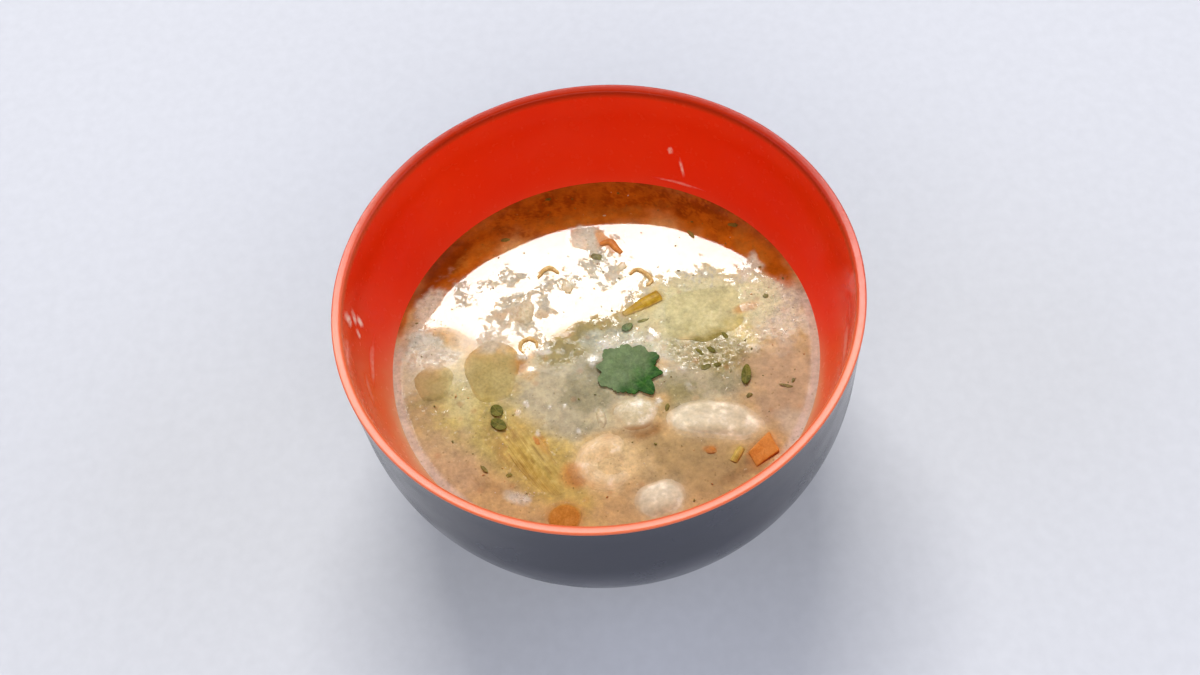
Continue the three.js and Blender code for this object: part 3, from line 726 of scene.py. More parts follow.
@dataclass(frozen=True)
class CloudyBroth:
    """Cloudy broth: a mirror-smooth liquid over curds, herb dust and drops of red oil."""

    roughness: float = 0.04
    dull_roughness: float = 0.55  # where froth lies on it
    cream: str = "#C9BA90"
    dust: str = "#5E4C18"
    oil: str = "#A65A18"
    ripple: float = 0.012  # millimetres of relief of the ripples
    relief: float = 0.02  # and of the curds

    def material(self) -> Material:
        """Builds the broth.

        Returns:
            The material, which reads the tint, graininess and dullness of each place of the broth.
        """
        material, tree, shader = blank_material("cloudy_broth")
        place = add(tree, "TexCoord", output="Object")
        tint = add(tree, "Attribute", attribute_name="broth_tint")
        curd, dull = (add(tree, "Attribute", output="Fac", attribute_name=name) for name in ("curd", "dull"))
        # Curds of about 1 mm, more of them where the broth is grainy
        curds = add(tree, "TexNoise", {"Vector": place, "Scale": 900.0, "Detail": 3.0, "Roughness": 0.6})
        edge = add(tree, "MapRange", [curd, 0.0, 1.0, 0.72, 0.48])
        over = add(tree, "Math", [curds, edge], operation="SUBTRACT")
        creamy = add(tree, "MapRange", [over, 0.0, 0.08, 0.0, 0.45])
        # Herb dust: specks under half a millimetre
        specks = add(tree, "TexVoronoi", {"Vector": place, "Scale": 520.0})
        dusty = add(tree, "MapRange", [specks, 0.08, 0.16, 0.4, 0.0])
        # Drops of red oil, 1 to 2 mm across
        drops = add(tree, "TexVoronoi", {"Vector": place, "Scale": 170.0})
        oily = add(tree, "MapRange", [drops, 0.08, 0.18, 0.2, 0.0])
        colour = clouded_tint(tree, tint, curd)
        for share, layer in ((creamy, self.cream), (dusty, self.dust), (oily, self.oil)):
            colour = add(tree, "Mix", {0: share, 6: colour, 7: linear(layer)}, 2, data_type="RGBA")
        # Ripples of 4 mm, some microns deep, and the curds' own relief
        ripple = add(tree, "TexNoise", {"Vector": place, "Scale": 160.0, "Detail": 3.0})
        rippled = add(tree, "Bump", {"Height": ripple, "Distance": self.ripple * MM})
        grain = add(tree, "Math", [creamy, curd], operation="MULTIPLY")
        # The froth's edge is ragged: flakes of 1 to 2 mm
        flakes = add(tree, "TexNoise", {"Vector": place, "Scale": 650.0, "Detail": 5.0, "Roughness": 0.65})
        ragged = add(tree, "Math", [flakes, 2.2, -1.1], operation="MULTIPLY_ADD")
        frothy = add(tree, "Math", [dull, ragged], operation="ADD")
        feed(shader, {
            "Base Color": colour,
            "Normal": add(tree, "Bump", {"Height": grain, "Distance": self.relief * MM, "Normal": rippled}),
            "Roughness": add(tree, "MapRange", [frothy, 0.4, 0.6, self.roughness, self.dull_roughness]),
            "IOR": 1.38,
            "Subsurface Weight": 0.25,
            "Subsurface Radius": (1.0, 0.5, 0.2),
            "Subsurface Scale": 1.2 * MM,
        })
        return material


@dataclass(frozen=True)
class WetFood:
    """Food with a film of broth on it: mottled, with a grain, and stained where the broth laps; on prawn,
    chicken and mushroom the lightest mottles are painted highlights.
    """

    name: str
    slot: str
    dark: str
    middle: str
    # light: the lightest mottle, near white on prawn, chicken and mushroom as a painted highlight of their
    # wet gleam
    light: str
    mottle: float  # millimetres across a mottle
    grain: Triple  # millimetres of a grain along each axis
    vein: str  # colour of what is stored as veins, rind or bands
    depth: float = 0.03  # millimetres of relief of the grain
    roughness: float = 0.5
    glow: float = 0.2  # how much light passes into the flesh
    wet: float = 0.0  # how much of a film of broth stands on it
    wet_roughness: float = 0.3
    bleed: float = 0.25  # how strongly it shows at its edge, on either side of the waterline
    sheen: float = 0.3  # gloss of the flesh itself, 0.5 being that of its refraction

    def material(self) -> Material:
        """Builds the finish.

        Returns:
            The material, which reads the place in the piece, the film, the broth's tint and the marks.
        """
        material, tree, shader = blank_material(self.name)
        place = add(tree, "Attribute", output="Vector", attribute_name="own_place")
        tint = add(tree, "Attribute", attribute_name="broth_tint")
        film, marks = (
            add(tree, "Attribute", output="Fac", attribute_name=name) for name in ("film", "marks")
        )
        scale = 1 / self.mottle
        # Mottles; the near-white lightest stop of prawn, chicken and mushroom is a painted highlight
        mottles = add(tree, "TexNoise", {"Vector": place, "Scale": scale, "Detail": 5.0, "Roughness": 0.6})
        stops = [(0.3, self.dark), (0.52, self.middle), (0.72, self.light)]
        mottled = add(tree, "ValToRGB", [mottles], stops=stops)
        stretch = add(tree, "Mapping", {"Vector": place, "Scale": tuple(1 / size for size in self.grain)})
        grain = add(tree, "TexNoise", {"Vector": stretch, "Scale": 1.0, "Detail": 4.0})
        shade = add(tree, "MapRange", [grain, 0.3, 0.7, 0.82, 1.14])
        colour = add(tree, "VectorMath", {0: mottled, "Scale": shade}, operation="SCALE")
        # The broth laps up the sides unevenly
        lap = add(tree, "Math", [grain, 0.5, -0.25], operation="MULTIPLY_ADD")
        wet = add(tree, "Math", [film, lap], operation="ADD", use_clamp=True)
        for share, layer in ((marks, linear(self.vein)), (wet, clouded_tint(tree, tint, 0.4))):
            colour = add(tree, "Mix", {0: share, 6: colour, 7: layer}, 2, data_type="RGBA")
        feed(shader, {
            "Base Color": colour,
            "Normal": add(tree, "Bump", {"Height": grain, "Distance": self.depth * MM}),
            "Roughness": self.roughness,
            "IOR": 1.4,
            "Specular IOR Level": self.sheen,
            "Coat Weight": self.wet,
            "Coat Roughness": self.wet_roughness,
            "Coat IOR": 1.34,
            "Subsurface Weight": self.glow,
            "Subsurface Radius": (1.0, 0.6, 0.3),
            "Subsurface Scale": 1.0 * MM,
        })
        return material


FRESH_LEAF = WetFood(
    "coriander_leaf_tissue", "fresh_herb", "#0E3606", "#1D4C0C", "#35691C", 1.6, grain=(0.5, 0.5, 0.5),
    depth=0.04, roughness=0.6, glow=0.05, vein="#466C2A", wet=0.05, bleed=0.15, sheen=0.15,
)
COOKED_LEAF = WetFood(
    "cooked_leaf_tissue", "cooked_herb", "#3E420C", "#5A5A1A", "#74702A", 1.4, grain=(0.5, 0.5, 0.5),
    depth=0.04, roughness=0.6, glow=0.05, vein="#6E6A2A", wet=0.05, bleed=0.35, sheen=0.15,
)
CABBAGE = WetFood(
    "cabbage_leaf_tissue", "cabbage", "#A69E66", "#C2BA86", "#DAD4AC", 1.3, grain=(0.6, 0.6, 0.6),
    depth=0.04, roughness=0.7, vein="#C6C090", bleed=0.15, sheen=0.1,
)
ROOT = WetFood(
    "galangal_flesh", "root", "#96864C", "#9E9058", "#A89B64", 5.0, grain=(0.7, 0.7, 2.0), depth=0.02,
    roughness=0.6, vein="#93804A", bleed=0.15, sheen=0.2,
)
LEMONGRASS = WetFood(
    "lemongrass_sheath_fibre", "lemongrass", "#9A8230", "#BCA24C", "#D2BE70", 2.0,
    grain=(0.3, 0.3, 9.0), depth=0.1, roughness=0.55, glow=0.1, vein="#7A5C18", wet=0.1,
    wet_roughness=0.25, bleed=0.3, sheen=0.2,
)
GINGER = WetFood(
    "ginger_flesh", "ginger", "#8C6A0E", "#AE8C1E", "#C2A43E", 2.0, grain=(0.3, 0.3, 5.0), depth=0.06,
    glow=0.15, vein="#D8B878", wet=0.1, wet_roughness=0.25, bleed=0.5, sheen=0.2,
)
# Prawn, chicken and mushroom: the near-white lightest mottle paints the highlights of their wet gleam
PRAWN = WetFood(
    "cooked_prawn_flesh", "prawn", "#BE9E6A", "#D0B684", "#F0E2C4", 3.4, grain=(0.5, 0.5, 0.9),
    vein="#D08A36", wet=0.3,
)
CHICKEN = WetFood(
    "cooked_chicken_flesh", "chicken", "#B2A684", "#C8BC9A", "#F2EAD0", 4.4, grain=(1.4, 1.2, 1.2),
    depth=0.01, vein="#B8955E", wet=0.4,
)
MUSHROOM = WetFood(
    "cooked_mushroom_flesh", "mushroom", "#AEA078", "#C2B692", "#EEE8D4", 3.0, grain=(0.6, 0.6, 1.2),
    vein="#8E5E1E", wet=0.4,
)
CARROT = WetFood(
    "cooked_carrot_flesh", "carrot", "#B4661C", "#C47A28", "#D08E42", 2.5, grain=(0.5, 0.5, 0.8),
    depth=0.04, roughness=0.6, glow=0.15, vein="#CE8C40", wet=0.05, bleed=0.6, sheen=0.2,
)
SOAKED_CARROT = WetFood(
    "soaked_carrot_flesh", "carrot", "#A86C22", "#B4762C", "#BC823C", 2.5, grain=(0.5, 0.5, 0.8),
    roughness=0.7, glow=0.1, vein="#A4722C", bleed=0.6, sheen=0.1,
)
SHALLOT = WetFood(
    "fried_shallot_shred", "shallot", "#A07A38", "#C0A060", "#D8C48E", 1.0, grain=(0.4, 0.4, 2.5),
    depth=0.05, roughness=0.45, glow=0.3, vein="#7C5A20", wet=0.2, wet_roughness=0.2, bleed=0.4,
)
CHILLI = WetFood(
    "chilli_skin", "chilli", "#9A5410", "#B46C24", "#C88C4A", 1.5, grain=(0.6, 0.6, 1.5), depth=0.02,
    glow=0.1, vein="#D8A060", wet=0.1, wet_roughness=0.25, bleed=0.6, sheen=0.2,
)


# ---- The bowl ----


@dataclass
class Bowl:
    """The turned bowl with a foot ring, red inside and over the lip and near black outside."""

    rim_radius: float = 60.0
    height: float = 66.0
    lip_corner: float = 0.35  # rounding of the lip's outer edge
    lip_crown: float = 1.2  # width of its top
    lip_lean: float = 5.5  # degrees that the top falls inwards at the outer edge
    lip_bend: float = 10.0  # radius to which the top is crowned
    lip_inner: float = 0.82  # rounding of its inner edge
    body_radius: float = 59.5
    body_bend: float = 46.0
    hollow_radius: float = 57.0
    hollow_bend: float = 58.0
    floor: float = 12.0
    foot_radius: float = 30.0
    foot_width: float = 4.0
    foot_height: float = 7.0
    foot_flare: float = 1.0
    recess: float = 5.0
    chamfer: float = 0.7
    red_down_to: float = 65.4  # the red goes over the lip down to this height outside
    side_sheen: float = 0.85  # how strongly painted sheen turns the red orange on the near side
    lip_sheen: float = 0.4  # and along the lip
    lip_sheen_heights: Spot = (64.2, 65.2)  # heights between which the painted sheen of the lip sets in
    lip_light_heights: Spot = (63.8, 65.0)  # and those for its painted highlight and shade
    lip_highlight_share: float = 0.8  # how strong the painted highlight on the near part of the lip is
    lip_shade_share: float = 0.75  # how dark the painted shade on the far part is
    far_film: float = 0.06  # strength of the film of soup at the far wall
    near_film: float = 0.84  # what the near wall has more
    film_fade: float = 2.4  # millimetres over which the film thins out upwards
    left_fade: float = 1.4  # what that is wider at the left
    segments: int = 224
    inside: RedLacquer = field(default_factory=RedLacquer)
    outside: BlackLacquer = field(default_factory=BlackLacquer)

    def profile(self) -> list[Spot]:
        """Draws the section, from the recess under the foot out over the lip and down the hollow.

        Returns:
            Radius and height of each point.
        """
        within = self.foot_radius - self.foot_width
        top = self.foot_radius + self.foot_flare
        corner, inner = (self.lip_corner, self.lip_corner), (self.lip_inner, self.lip_inner)
        outer = (self.rim_radius - self.lip_corner, self.height - self.lip_corner)
        slope = math.tan(math.radians(self.lip_lean))
        steps = [self.lip_crown * i / 6 for i in range(1, 7)]
        crown = [(outer[0] - s, self.height - slope * s - s * s / (2 * self.lip_bend)) for s in steps]
        fall = 90 + math.degrees(math.atan(slope + self.lip_crown / self.lip_bend))
        turn = math.radians(fall)
        within_lip = (crown[-1][0] - inner[0] * math.cos(turn), crown[-1][1] - inner[1] * math.sin(turn))
        throat = (within_lip[0] - self.lip_inner - self.hollow_radius, within_lip[1] - self.hollow_bend)
        body = (self.body_radius - top, self.body_bend - self.foot_height)
        hollow = (self.hollow_radius, self.hollow_bend - self.floor)
        return [
            (0, self.recess),
            (12, self.recess),
            (within - 1.2, self.recess),
            (within - 0.3, self.recess - 0.35),
            (within, self.recess - 1),
            (within, self.chamfer),
            (within + 0.2, 0.2),
            (within + self.chamfer, 0),
            (self.foot_radius - self.chamfer, 0),
            (self.foot_radius - 0.2, 0.2),
            (self.foot_radius, self.chamfer),
            (self.foot_radius + 0.35, 3.5),
            (self.foot_radius + 0.75, 6.4),
            *arc((top, self.body_bend), body, -89.2, 0, 40),
            (self.body_radius + 0.1, 52),
            (self.body_radius + 0.3, 60),
            (self.rim_radius - 0.03, self.red_down_to),
            *arc(outer, corner, 0, 90 + self.lip_lean / 2, 7),
            *crown,
            *arc(within_lip, inner, fall, 180, 9)[1:],
            *[
                (self.hollow_radius + throat[0] * t**1.5, self.hollow_bend + throat[1] * t)
                for t in (0.8, 0.6, 0.4, 0.2)
            ],
            *arc((0, self.hollow_bend), hollow, 0, -90, 56),
        ]

    def wall_radius(self, height: float) -> float:
        """Measures the hollow.

        Args:
            height: Millimetres over the table.

        Returns:
            The hollow's radius there.
        """
        if height > self.hollow_bend:
            return self.hollow_radius + 0.8 * ((height - self.hollow_bend) / 7) ** 1.5
        down = (self.hollow_bend - height) / (self.hollow_bend - self.floor)
        return self.hollow_radius * math.sqrt(1 - down * down)

    def nearness(self, place: Vector, start: float, end: float, slant: float = 0.15) -> float:
        """Tells the near side of the bowl from the far side.

        Args:
            place: A place, in millimetres.
            start: The share of the way from the middle to the far side up to which all is near.
            end: The share from which all is far.
            slant: How far the near side is turned to the left.

        Returns:
            1 on the near side, falling to 0 on the far side.
        """
        reach = max(1.0, math.hypot(place.x, place.y))
        return 1 - ease(start, end, (place.y + slant * place.x) / reach)

    def wall_sheen(self, place: Vector) -> float:
        """How strongly painted sheen turns the red orange at a place: on the near side and along the lip."""
        side = self.side_sheen * self.nearness(place, -0.4, 0.15)
        return max(side, self.lip_sheen * ease(*self.lip_sheen_heights, place.z))

    def soup(self, place: Vector) -> float:
        """Lays a film of dried soup on the wall over the waterline.

        Args:
            place: A place, in millimetres.

        Returns:
            How much soup has dried there, from 0 to 1.
        """
        over = place.z - LEVEL
        if over < -1:
            return 0.0
        near = self.nearness(place, -0.5, 0.35)
        left = ease(0.0, 0.8, -place.x / max(1.0, math.hypot(place.x, place.y)))
        fade = self.film_fade + self.left_fade * left
        return (self.far_film + self.near_film * near) * math.exp(-max(0.0, over) / fade)

    def build(self) -> Object:
        """Models and dresses the bowl.

        Returns:
            The bowl, which replaces the plain one.
        """
        bowl = turned("bowl_lacquered", self.profile(), self.segments)
        bowl.data.materials.append(self.inside.material())
        bowl.data.materials.append(self.outside.material())
        for face in bowl.data.polygons:
            middle = face.center / MM
            outward = face.normal.x * middle.x + face.normal.y * middle.y > 0
            over_lip = middle.z > self.red_down_to
            in_hollow = not outward and middle.z > self.floor - 0.5
            face.material_index = 0 if over_lip or in_hollow else 1
        places = points(bowl)
        # Painted highlight on the near part of the lip and painted shade on its far part
        lips = [(self.nearness(place, -0.4, 0.8, 0.25), ease(*self.lip_light_heights, place.z)) for place in places]
        store(bowl, "lip", "FLOAT", [self.lip_highlight_share * near * lip for near, lip in lips])
        store(bowl, "far_lip_shade", "FLOAT", [self.lip_shade_share * (1 - near) * lip for near, lip in lips])
        # Painted sheen: the red turned orange on the near wall and along the lip
        store(bowl, "wall_sheen", "FLOAT", [self.wall_sheen(place) for place in places])
        store(bowl, "soup", "FLOAT", [self.soup(place) for place in places])
        smooth(bowl, 50)
        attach(bowl, BODY)
        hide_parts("bowl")
        return bowl


# ---- Floating pieces ----


@dataclass
class FloatingPiece:
    """One piece of food, half sunk in the broth. Its own shape has the broth's level at z = 0."""

    node: str
    finish: WetFood
    at: Triple
    turn: float = 0.0
    tilt: tuple[float, float] = (0.0, 0.0)
    cover: float = 0.0  # how much broth veils even its top, from 0 to 1
    lap: float = 0.6  # millimetres above the skin over which the stain of the broth fades
    shore: float = 0.0  # millimetres over which its sides run out flat into the skin
    sheen_tint: str = ""  # colour of a painted sheen that veils it in place of the broth round it

    def model(self) -> Object:
        """Models the piece about its own middle, with its places and marks.

        Returns:
            The piece.
        """
        raise NotImplementedError

    def keep_places(self, piece: Object, marks: Callable[[Vector], float] | None = None) -> None:
        """Stores each point's place in the piece, and how strongly it is marked.

        Args:
            piece: The piece before it is set in the broth.
            marks: Gives the strength of veins, rind or bands at a place.
        """
        places = points(piece)
        store(piece, "own_place", "FLOAT_VECTOR", places)
        store(piece, "marks", "FLOAT", [marks(place) if marks else 0.0 for place in places])

    def sunk(self, place: Vector) -> float:
        """How much broth veils a place of the piece, whatever its height."""
        return self.cover

    def build(self) -> Object:
        """Models the piece, sets it in the broth and dresses it.

        Returns:
            The piece, which replaces its plain node.
        """
        piece = self.model()
        own = piece.data.attributes["own_place"].data
        veils = [self.sunk(item.vector) for item in own]
        turn = Euler([math.radians(a) for a in (*self.tilt, self.turn)], "XYZ").to_matrix()
        middle = Vector((self.at[0], self.at[1], self.at[2] + LEVEL))

        def settled(point: Vector) -> Vector:
            """Sets a point in the broth, and flattens what stands out of it.

            Args:
                point: The point in millimetres.

            Returns:
                Where it goes.
            """
            spot = turn @ point + middle
            waterline = LEVEL + SKIN.height(spot.x, spot.y)
            above = spot.z - waterline
            if above > 0 and self.shore:
                spot.z = waterline + above * above / (above + self.shore)
            return spot

        reshape(piece, settled)
        films, tints = [], []
        for (x, y, z), veil in zip(points(piece), veils):
            above = z - LEVEL - SKIN.height(x, y)
            films.append(max(veil, (1 - self.finish.bleed) * (1 - ease(0.0, self.lap, above))))
            tints.append(linear(self.sheen_tint) if self.sheen_tint else SKIN.look(x, y).tint)
        store(piece, "film", "FLOAT", films)
        store(piece, "broth_tint", "FLOAT_COLOR", tints)
        piece.data.materials.append(self.finish.material())
        smooth(piece, 70)
        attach(piece, BODY)
        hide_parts(self.node)
        return piece


@dataclass
class Chunk(FloatingPiece):
    """A rounded, uneven chunk. The power squares it off: 1 is an ellipsoid, less is blockier."""

    size: Triple = (1.0, 1.0, 1.0)
    power: float = 0.85
    bumps: float = 0.06
    bend: float = 0.0
    rough: float = 0.25  # millimetres of torn relief
    fibre: Triple = (1.0, 1.0, 1.0)  # millimetres of the relief along each axis
    fineness: int = 6

    def model(self) -> Object:
        """Models the chunk from a ball.

        Returns:
            The chunk.
        """
        bpy.ops.object.select_all(action="DESELECT")
        bpy.ops.mesh.primitive_ico_sphere_add(subdivisions=self.fineness, radius=MM)
        piece = begin(self.node + "_flesh")
        seed = self.at[0]

        def squared(value: float) -> float:
            """Moves a coordinate out, to make the ball blockier."""
            return math.copysign(abs(value) ** self.power, value)

        def place(point: Vector) -> Vector:
            """Shapes a point of the ball.

            Args:
                point: The point in millimetres.

            Returns:
                Where it goes.
            """
            x, y, z = point
            swell = 1 + self.bumps * (math.sin(4 * x + 1.7) * math.cos(3 * y) + math.sin(5 * y + 3 * z))
            spot = Vector((squared(x) * self.size[0], squared(y) * self.size[1], squared(z) * self.size[2]))
            spot *= swell / 2
            torn = Vector((spot.x / self.fibre[0] + seed, spot.y / self.fibre[1], spot.z / self.fibre[2]))
            relief = noise.fractal(torn, 0.9, 2.1, 4) - 0.35
            spot += point.normalized() * min(0.0, self.rough * relief)
            spot.y += self.bend * (x * x - 0.5)
            return spot

        reshape(piece, place)
        self.keep_places(piece)
        return piece


@dataclass
class Slice(FloatingPiece):
    """A slice cut across a root: an uneven oval disc with softened edges and a low dome."""

    size: Triple = (1.0, 1.0, 1.0)
    wobble: float = 0.04
    dome: float = 0.3
    rounding: float = 1.8  # how far in the rounding of its upper edge starts
    drop: float = 0.9  # how far down the rounding goes
    rind: float = 0.0  # how strongly the rim is marked
    browned: float = 0.0  # how brown its near side is
    relief: float = 0.05
    edge_veil: float = 0.85  # how much broth lies over its edge
    clear_to: float = 0.7  # share of its reach that is clear of it
    fade: Spot = (90.0, 99.0)  # the broth closes over it from here to here, towards the far side

    def model(self) -> Object:
        """Models the slice from a turned disc of radius 1.

        Returns:
            The slice.
        """
        length, width, thick = self.size
        edge = min(0.6, thick / 3)
        inner = 1 - 2 * self.rounding / width
        angles = [math.radians(90 - 10 * i) for i in range(9)]
        corner = [(inner + (1 - inner) * math.sin(a), self.drop * (math.cos(a) - 1)) for a in angles]
        top = [(inner * (1 - (i / 18) ** 1.2), 0.0) for i in range(18)]
        profile = [(0, -thick), (1 - 2 * edge / width, -thick), (1, edge - thick), *corner, *top, (0, 0)]
        piece = turned(self.node + "_cut", profile, 112)

        def place(point: Vector) -> Vector:
            """Shapes a point of the disc.

            Args:
                point: The point in millimetres.

            Returns:
                Where it goes.
            """
            angle = math.atan2(point.y, point.x)
            reach = math.hypot(point.x, point.y)
            uneven = 1 + self.wobble * (math.sin(2 * angle + 1) + math.sin(3 * angle) + math.sin(5 * angle))
            spot = Vector((point.x * uneven * length / 2, point.y * uneven * width / 2, point.z))
            spot.z += self.dome * (1 - reach * reach)
            if point.z > -0.01:
                spot.z -= self.relief * (0.5 + 0.5 * torn(spot / 1.6))
            return spot

        def rim(place: Vector) -> float:
            """Marks the rind, and the browned near side."""
            skirt = self.browned * ease(0.45, 0.85, -place.y / (width / 2)) * ease(-0.3, 0.9, 1 - place.z)
            return max(self.rind * ease(0.8, 0.97, self.out(place)), skirt)

        reshape(piece, place)
        self.keep_places(piece, rim)
        return piece

    def out(self, place: Vector) -> float:
        """How far out a place of the slice is, 1 being its edge."""
        return math.hypot(place.x / (self.size[0] / 2), place.y / (self.size[1] / 2))

    def sunk(self, place: Vector) -> float:
        """How much broth veils a place: it laps over the slice's edge and far side."""
        far = 0.9 * ease(*self.fade, place.y + 1.5 * noise.noise(place / 2))
        return max(self.cover, far, self.edge_veil * ease(self.clear_to, 1.0, self.out(place)))


class Route:
    """A smooth curve through points, measured by its length."""

    def __init__(self, points: Sequence[Sequence[float]], steps: int = 240) -> None:
        """Fits the curve.

        Args:
            points: The points that it passes, in millimetres.
            steps: Number of short pieces that it is measured by.
        """
        given = [Vector(point) for point in points]
        self.given = [2 * given[0] - given[1], *given, 2 * given[-1] - given[-2]]
        self.trail = [self.fitted(i / steps) for i in range(steps + 1)]
        self.run = [0.0]
        for before, after in zip(self.trail, self.trail[1:]):
            self.run.append(self.run[-1] + (after - before).length)

    def fitted(self, share: float) -> Vector:
        """Finds a point of the curve.

        Args:
            share: The share of the way, counted by the points given.

        Returns:
            The point.
        """
        spans = len(self.given) - 3
        span = min(int(share * spans), spans - 1)
        p0, p1, p2, p3 = self.given[span : span + 4]
        t = share * spans - span
        d0, d1, d2 = (max((b - a).length ** 0.5, 1e-4) for a, b in ((p0, p1), (p1, p2), (p2, p3)))
        start = ((p1 - p0) / d0 - (p2 - p0) / (d0 + d1) + (p2 - p1) / d1) * d1
        end = ((p2 - p1) / d1 - (p3 - p1) / (d1 + d2) + (p3 - p2) / d2) * d1
        second = -3 * p1 + 3 * p2 - 2 * start - end
        third = 2 * p1 - 2 * p2 + start + end
        return p1 + start * t + second * t * t + third * t**3

    def point(self, share: float) -> Vector:
        """Finds a point of the curve.

        Args:
            share: The share of its length.

        Returns:
            The point.
        """
        goal = min(max(share, 0.0), 1.0) * self.run[-1]
        low, high = 0, len(self.run) - 1
        while high - low > 1:
            middle = (low + high) // 2
            low, high = (middle, high) if self.run[middle] <= goal else (low, middle)
        span = self.run[high] - self.run[low]
        return self.trail[low].lerp(self.trail[high], (goal - self.run[low]) / span if span else 0.0)

    def ahead(self, share: float) -> Vector:
        """The direction of the curve at a share of its length."""
        return (self.point(share + 0.012) - self.point(share - 0.012)).normalized()


def curled(radii: Spot, start: float, end: float) -> list[Triple]:
    """A route round part of an oval, for a piece that curls."""
    return [(x, y, 0.0) for x, y in arc((0, 0), radii, start, end, 6)]


def even(along: float) -> float:
    """A strip that keeps its width."""
    return 1.0


def tapered(along: float) -> float:
    """A shred that gets slimmer to both ends."""
    return 0.55 + 0.45 * math.sin(math.pi * along)


def ginger_width(along: float) -> float:
    """The ginger strip: slim at its near end."""
    return 0.45 + 0.55 * min(1.0, 1.6 * along)


def grass_width(along: float) -> float:
    """The lemongrass sheath: narrower to the front."""
    return 1 - 0.25 * along**2


def prawn_width(along: float) -> float:
    """The prawn: rounded at the head, pleated, slim at the tail."""
    pleats = 1 + 0.05 * math.cos(12 * math.pi * along)
    return pleats * min(0.6 + 4 * along, 1.0) * (1 - 0.45 * along**2)


@dataclass
class Strip(FloatingPiece):
    """A strip whose oval section runs along a curve."""

    section: Spot = (1.0, 1.0)
    route: Sequence[Sequence[float]] = ()
    width_at: Callable[[float], float] = even
    relief: float = 0.06
    grain_length: float = 4.0
    steps: int = 90

    def across(self, angle: float, along: float) -> Spot:
        """The section's outline at an angle round it and a share of the length."""
        return (self.section[0] / 2 * math.cos(angle), self.section[1] / 2 * math.sin(angle))

    def marks(self, place: Vector) -> float:
        """How strongly a place is marked, none here."""
        return 0.0

    def model(self) -> Object:
        """Models the strip as a straight rod of radius 1 and length 1, then lays it along its route.

        Returns:
            The strip.
        """
        end, ends = 0.04, 10  # share of the length that each rounded end takes, and its steps
        angles = [math.pi / 2 * i / ends for i in range(ends + 1)]
        close = [(math.sin(angle), end * (1 - math.cos(angle))) for angle in angles]
        body = [(1.0, end + (1 - 2 * end) * i / self.steps) for i in range(1, self.steps)]
        profile = [*close, *body, *[(radius, 1 - height) for radius, height in reversed(close)]]
        piece = turned(self.node + "_strip", profile, 48)
        curve = Route(self.route)
        length = curve.run[-1]
        own: list[Vector] = []

        def place(point: Vector) -> Vector:
            """Lays a point of the rod along the route.

            Args:
                point: The point in millimetres.

            Returns:
                Where it goes.
            """
            angle = math.atan2(point.y, point.x)
            reach = math.hypot(point.x, point.y)
            along = min(1.0, max(0.0, point.z))
            wide, high = self.across(angle, along)
            fine = torn(Vector((wide, high, along * length / self.grain_length)) * 1.3)
            size = reach * self.width_at(along) * (1 - self.relief * (0.5 + 0.5 * fine))
            ahead = curve.ahead(along)
            side = Vector((0, 0, 1)).cross(ahead).normalized()
            lift = ahead.cross(side)
            own.append(Vector((wide * size, high * size, along * length)))
            return curve.point(along) + side * wide * size + lift * high * size

        reshape(piece, place)
        store(piece, "own_place", "FLOAT_VECTOR", own)
        store(piece, "marks", "FLOAT", [self.marks(spot) for spot in own])
        return piece


@dataclass
class Lemongrass(Strip):
    """A sheath of lemongrass: crowned on top, with fibres standing up along it."""

    fibres: int = 9
    fibre_height: float = 0.22
    length: float = 20.8  # along its route

    def across(self, angle: float, along: float) -> Spot:
        """Outlines the section: a crown with ridges on top and a flat underside.

        Args:
            angle: The angle round the section.
            along: The share of the length.

        Returns:
            Millimetres across and up.
        """
        width, height = self.section
        side = math.cos(angle)
        if math.sin(angle) <= 0:
            return (width / 2 * side * 0.9, height * (-1 + 0.5 * (1 - abs(math.sin(angle)) ** 0.5)))
        ridge = self.fibre_height * max(0.0, math.cos(math.pi * self.fibres * (side + 1) + math.pi)) ** 1.5
        wander = 0.12 * math.sin(9 * along + 5 * side)
        return (width / 2 * side + wander, height * (-0.5 * side**2) + ridge)

    def marks(self, place: Vector) -> float:
        """Marks the darker grooves between the fibres.

        Args:
            place: A place in the sheath.

        Returns:
            How dark it is, from 0 to 1.
        """
        bent = place.x + 0.25 * math.sin(place.z / 4)
        fine = noise.fractal(Vector((bent / 0.32, place.y / 0.6, place.z / 9)), 0.8, 2.0, 2)
        return 0.75 * ease(-0.05, 0.35, fine)

    def sunk(self, place: Vector) -> float:
        """Sinks the sheath's edges and ends under the broth.

        Args:
            place: A place in the sheath.

        Returns:
            How much broth veils it, from 0 to 1.
        """
        side = ease(0.55, 1.0, abs(place.x) / (self.section[0] / 2))
        end = ease(0.3, 0.5, abs(place.z / self.length - 0.5))
        return max(self.cover, 0.8 * max(side, end))


@dataclass
class Prawn(Strip):
    """A curled prawn, peeled, with an orange band on each of its rings."""

    rings: int = 6
    length: float = 24.5  # along its route

    def marks(self, place: Vector) -> float:
        """Marks orange bands on the outer side of each ring, strongest towards the tail.

        Args:
            place: A place in the prawn.

        Returns:
            How orange it is, from 0 to 1.
        """
        along = place.z / self.length
        band = 0.45 + 0.55 * ease(0.0, 1.0, math.cos(2 * math.pi * self.rings * along + 0.6))
        outer = ease(-0.8, 2.4, -place.x)
        tail = 0.25 + 0.75 * ease(0.35, 0.55, along) * (1 - ease(0.75, 0.9, along))
        return 0.6 * band * outer * tail * (0.75 + 0.4 * noise.noise(place / 1.3))


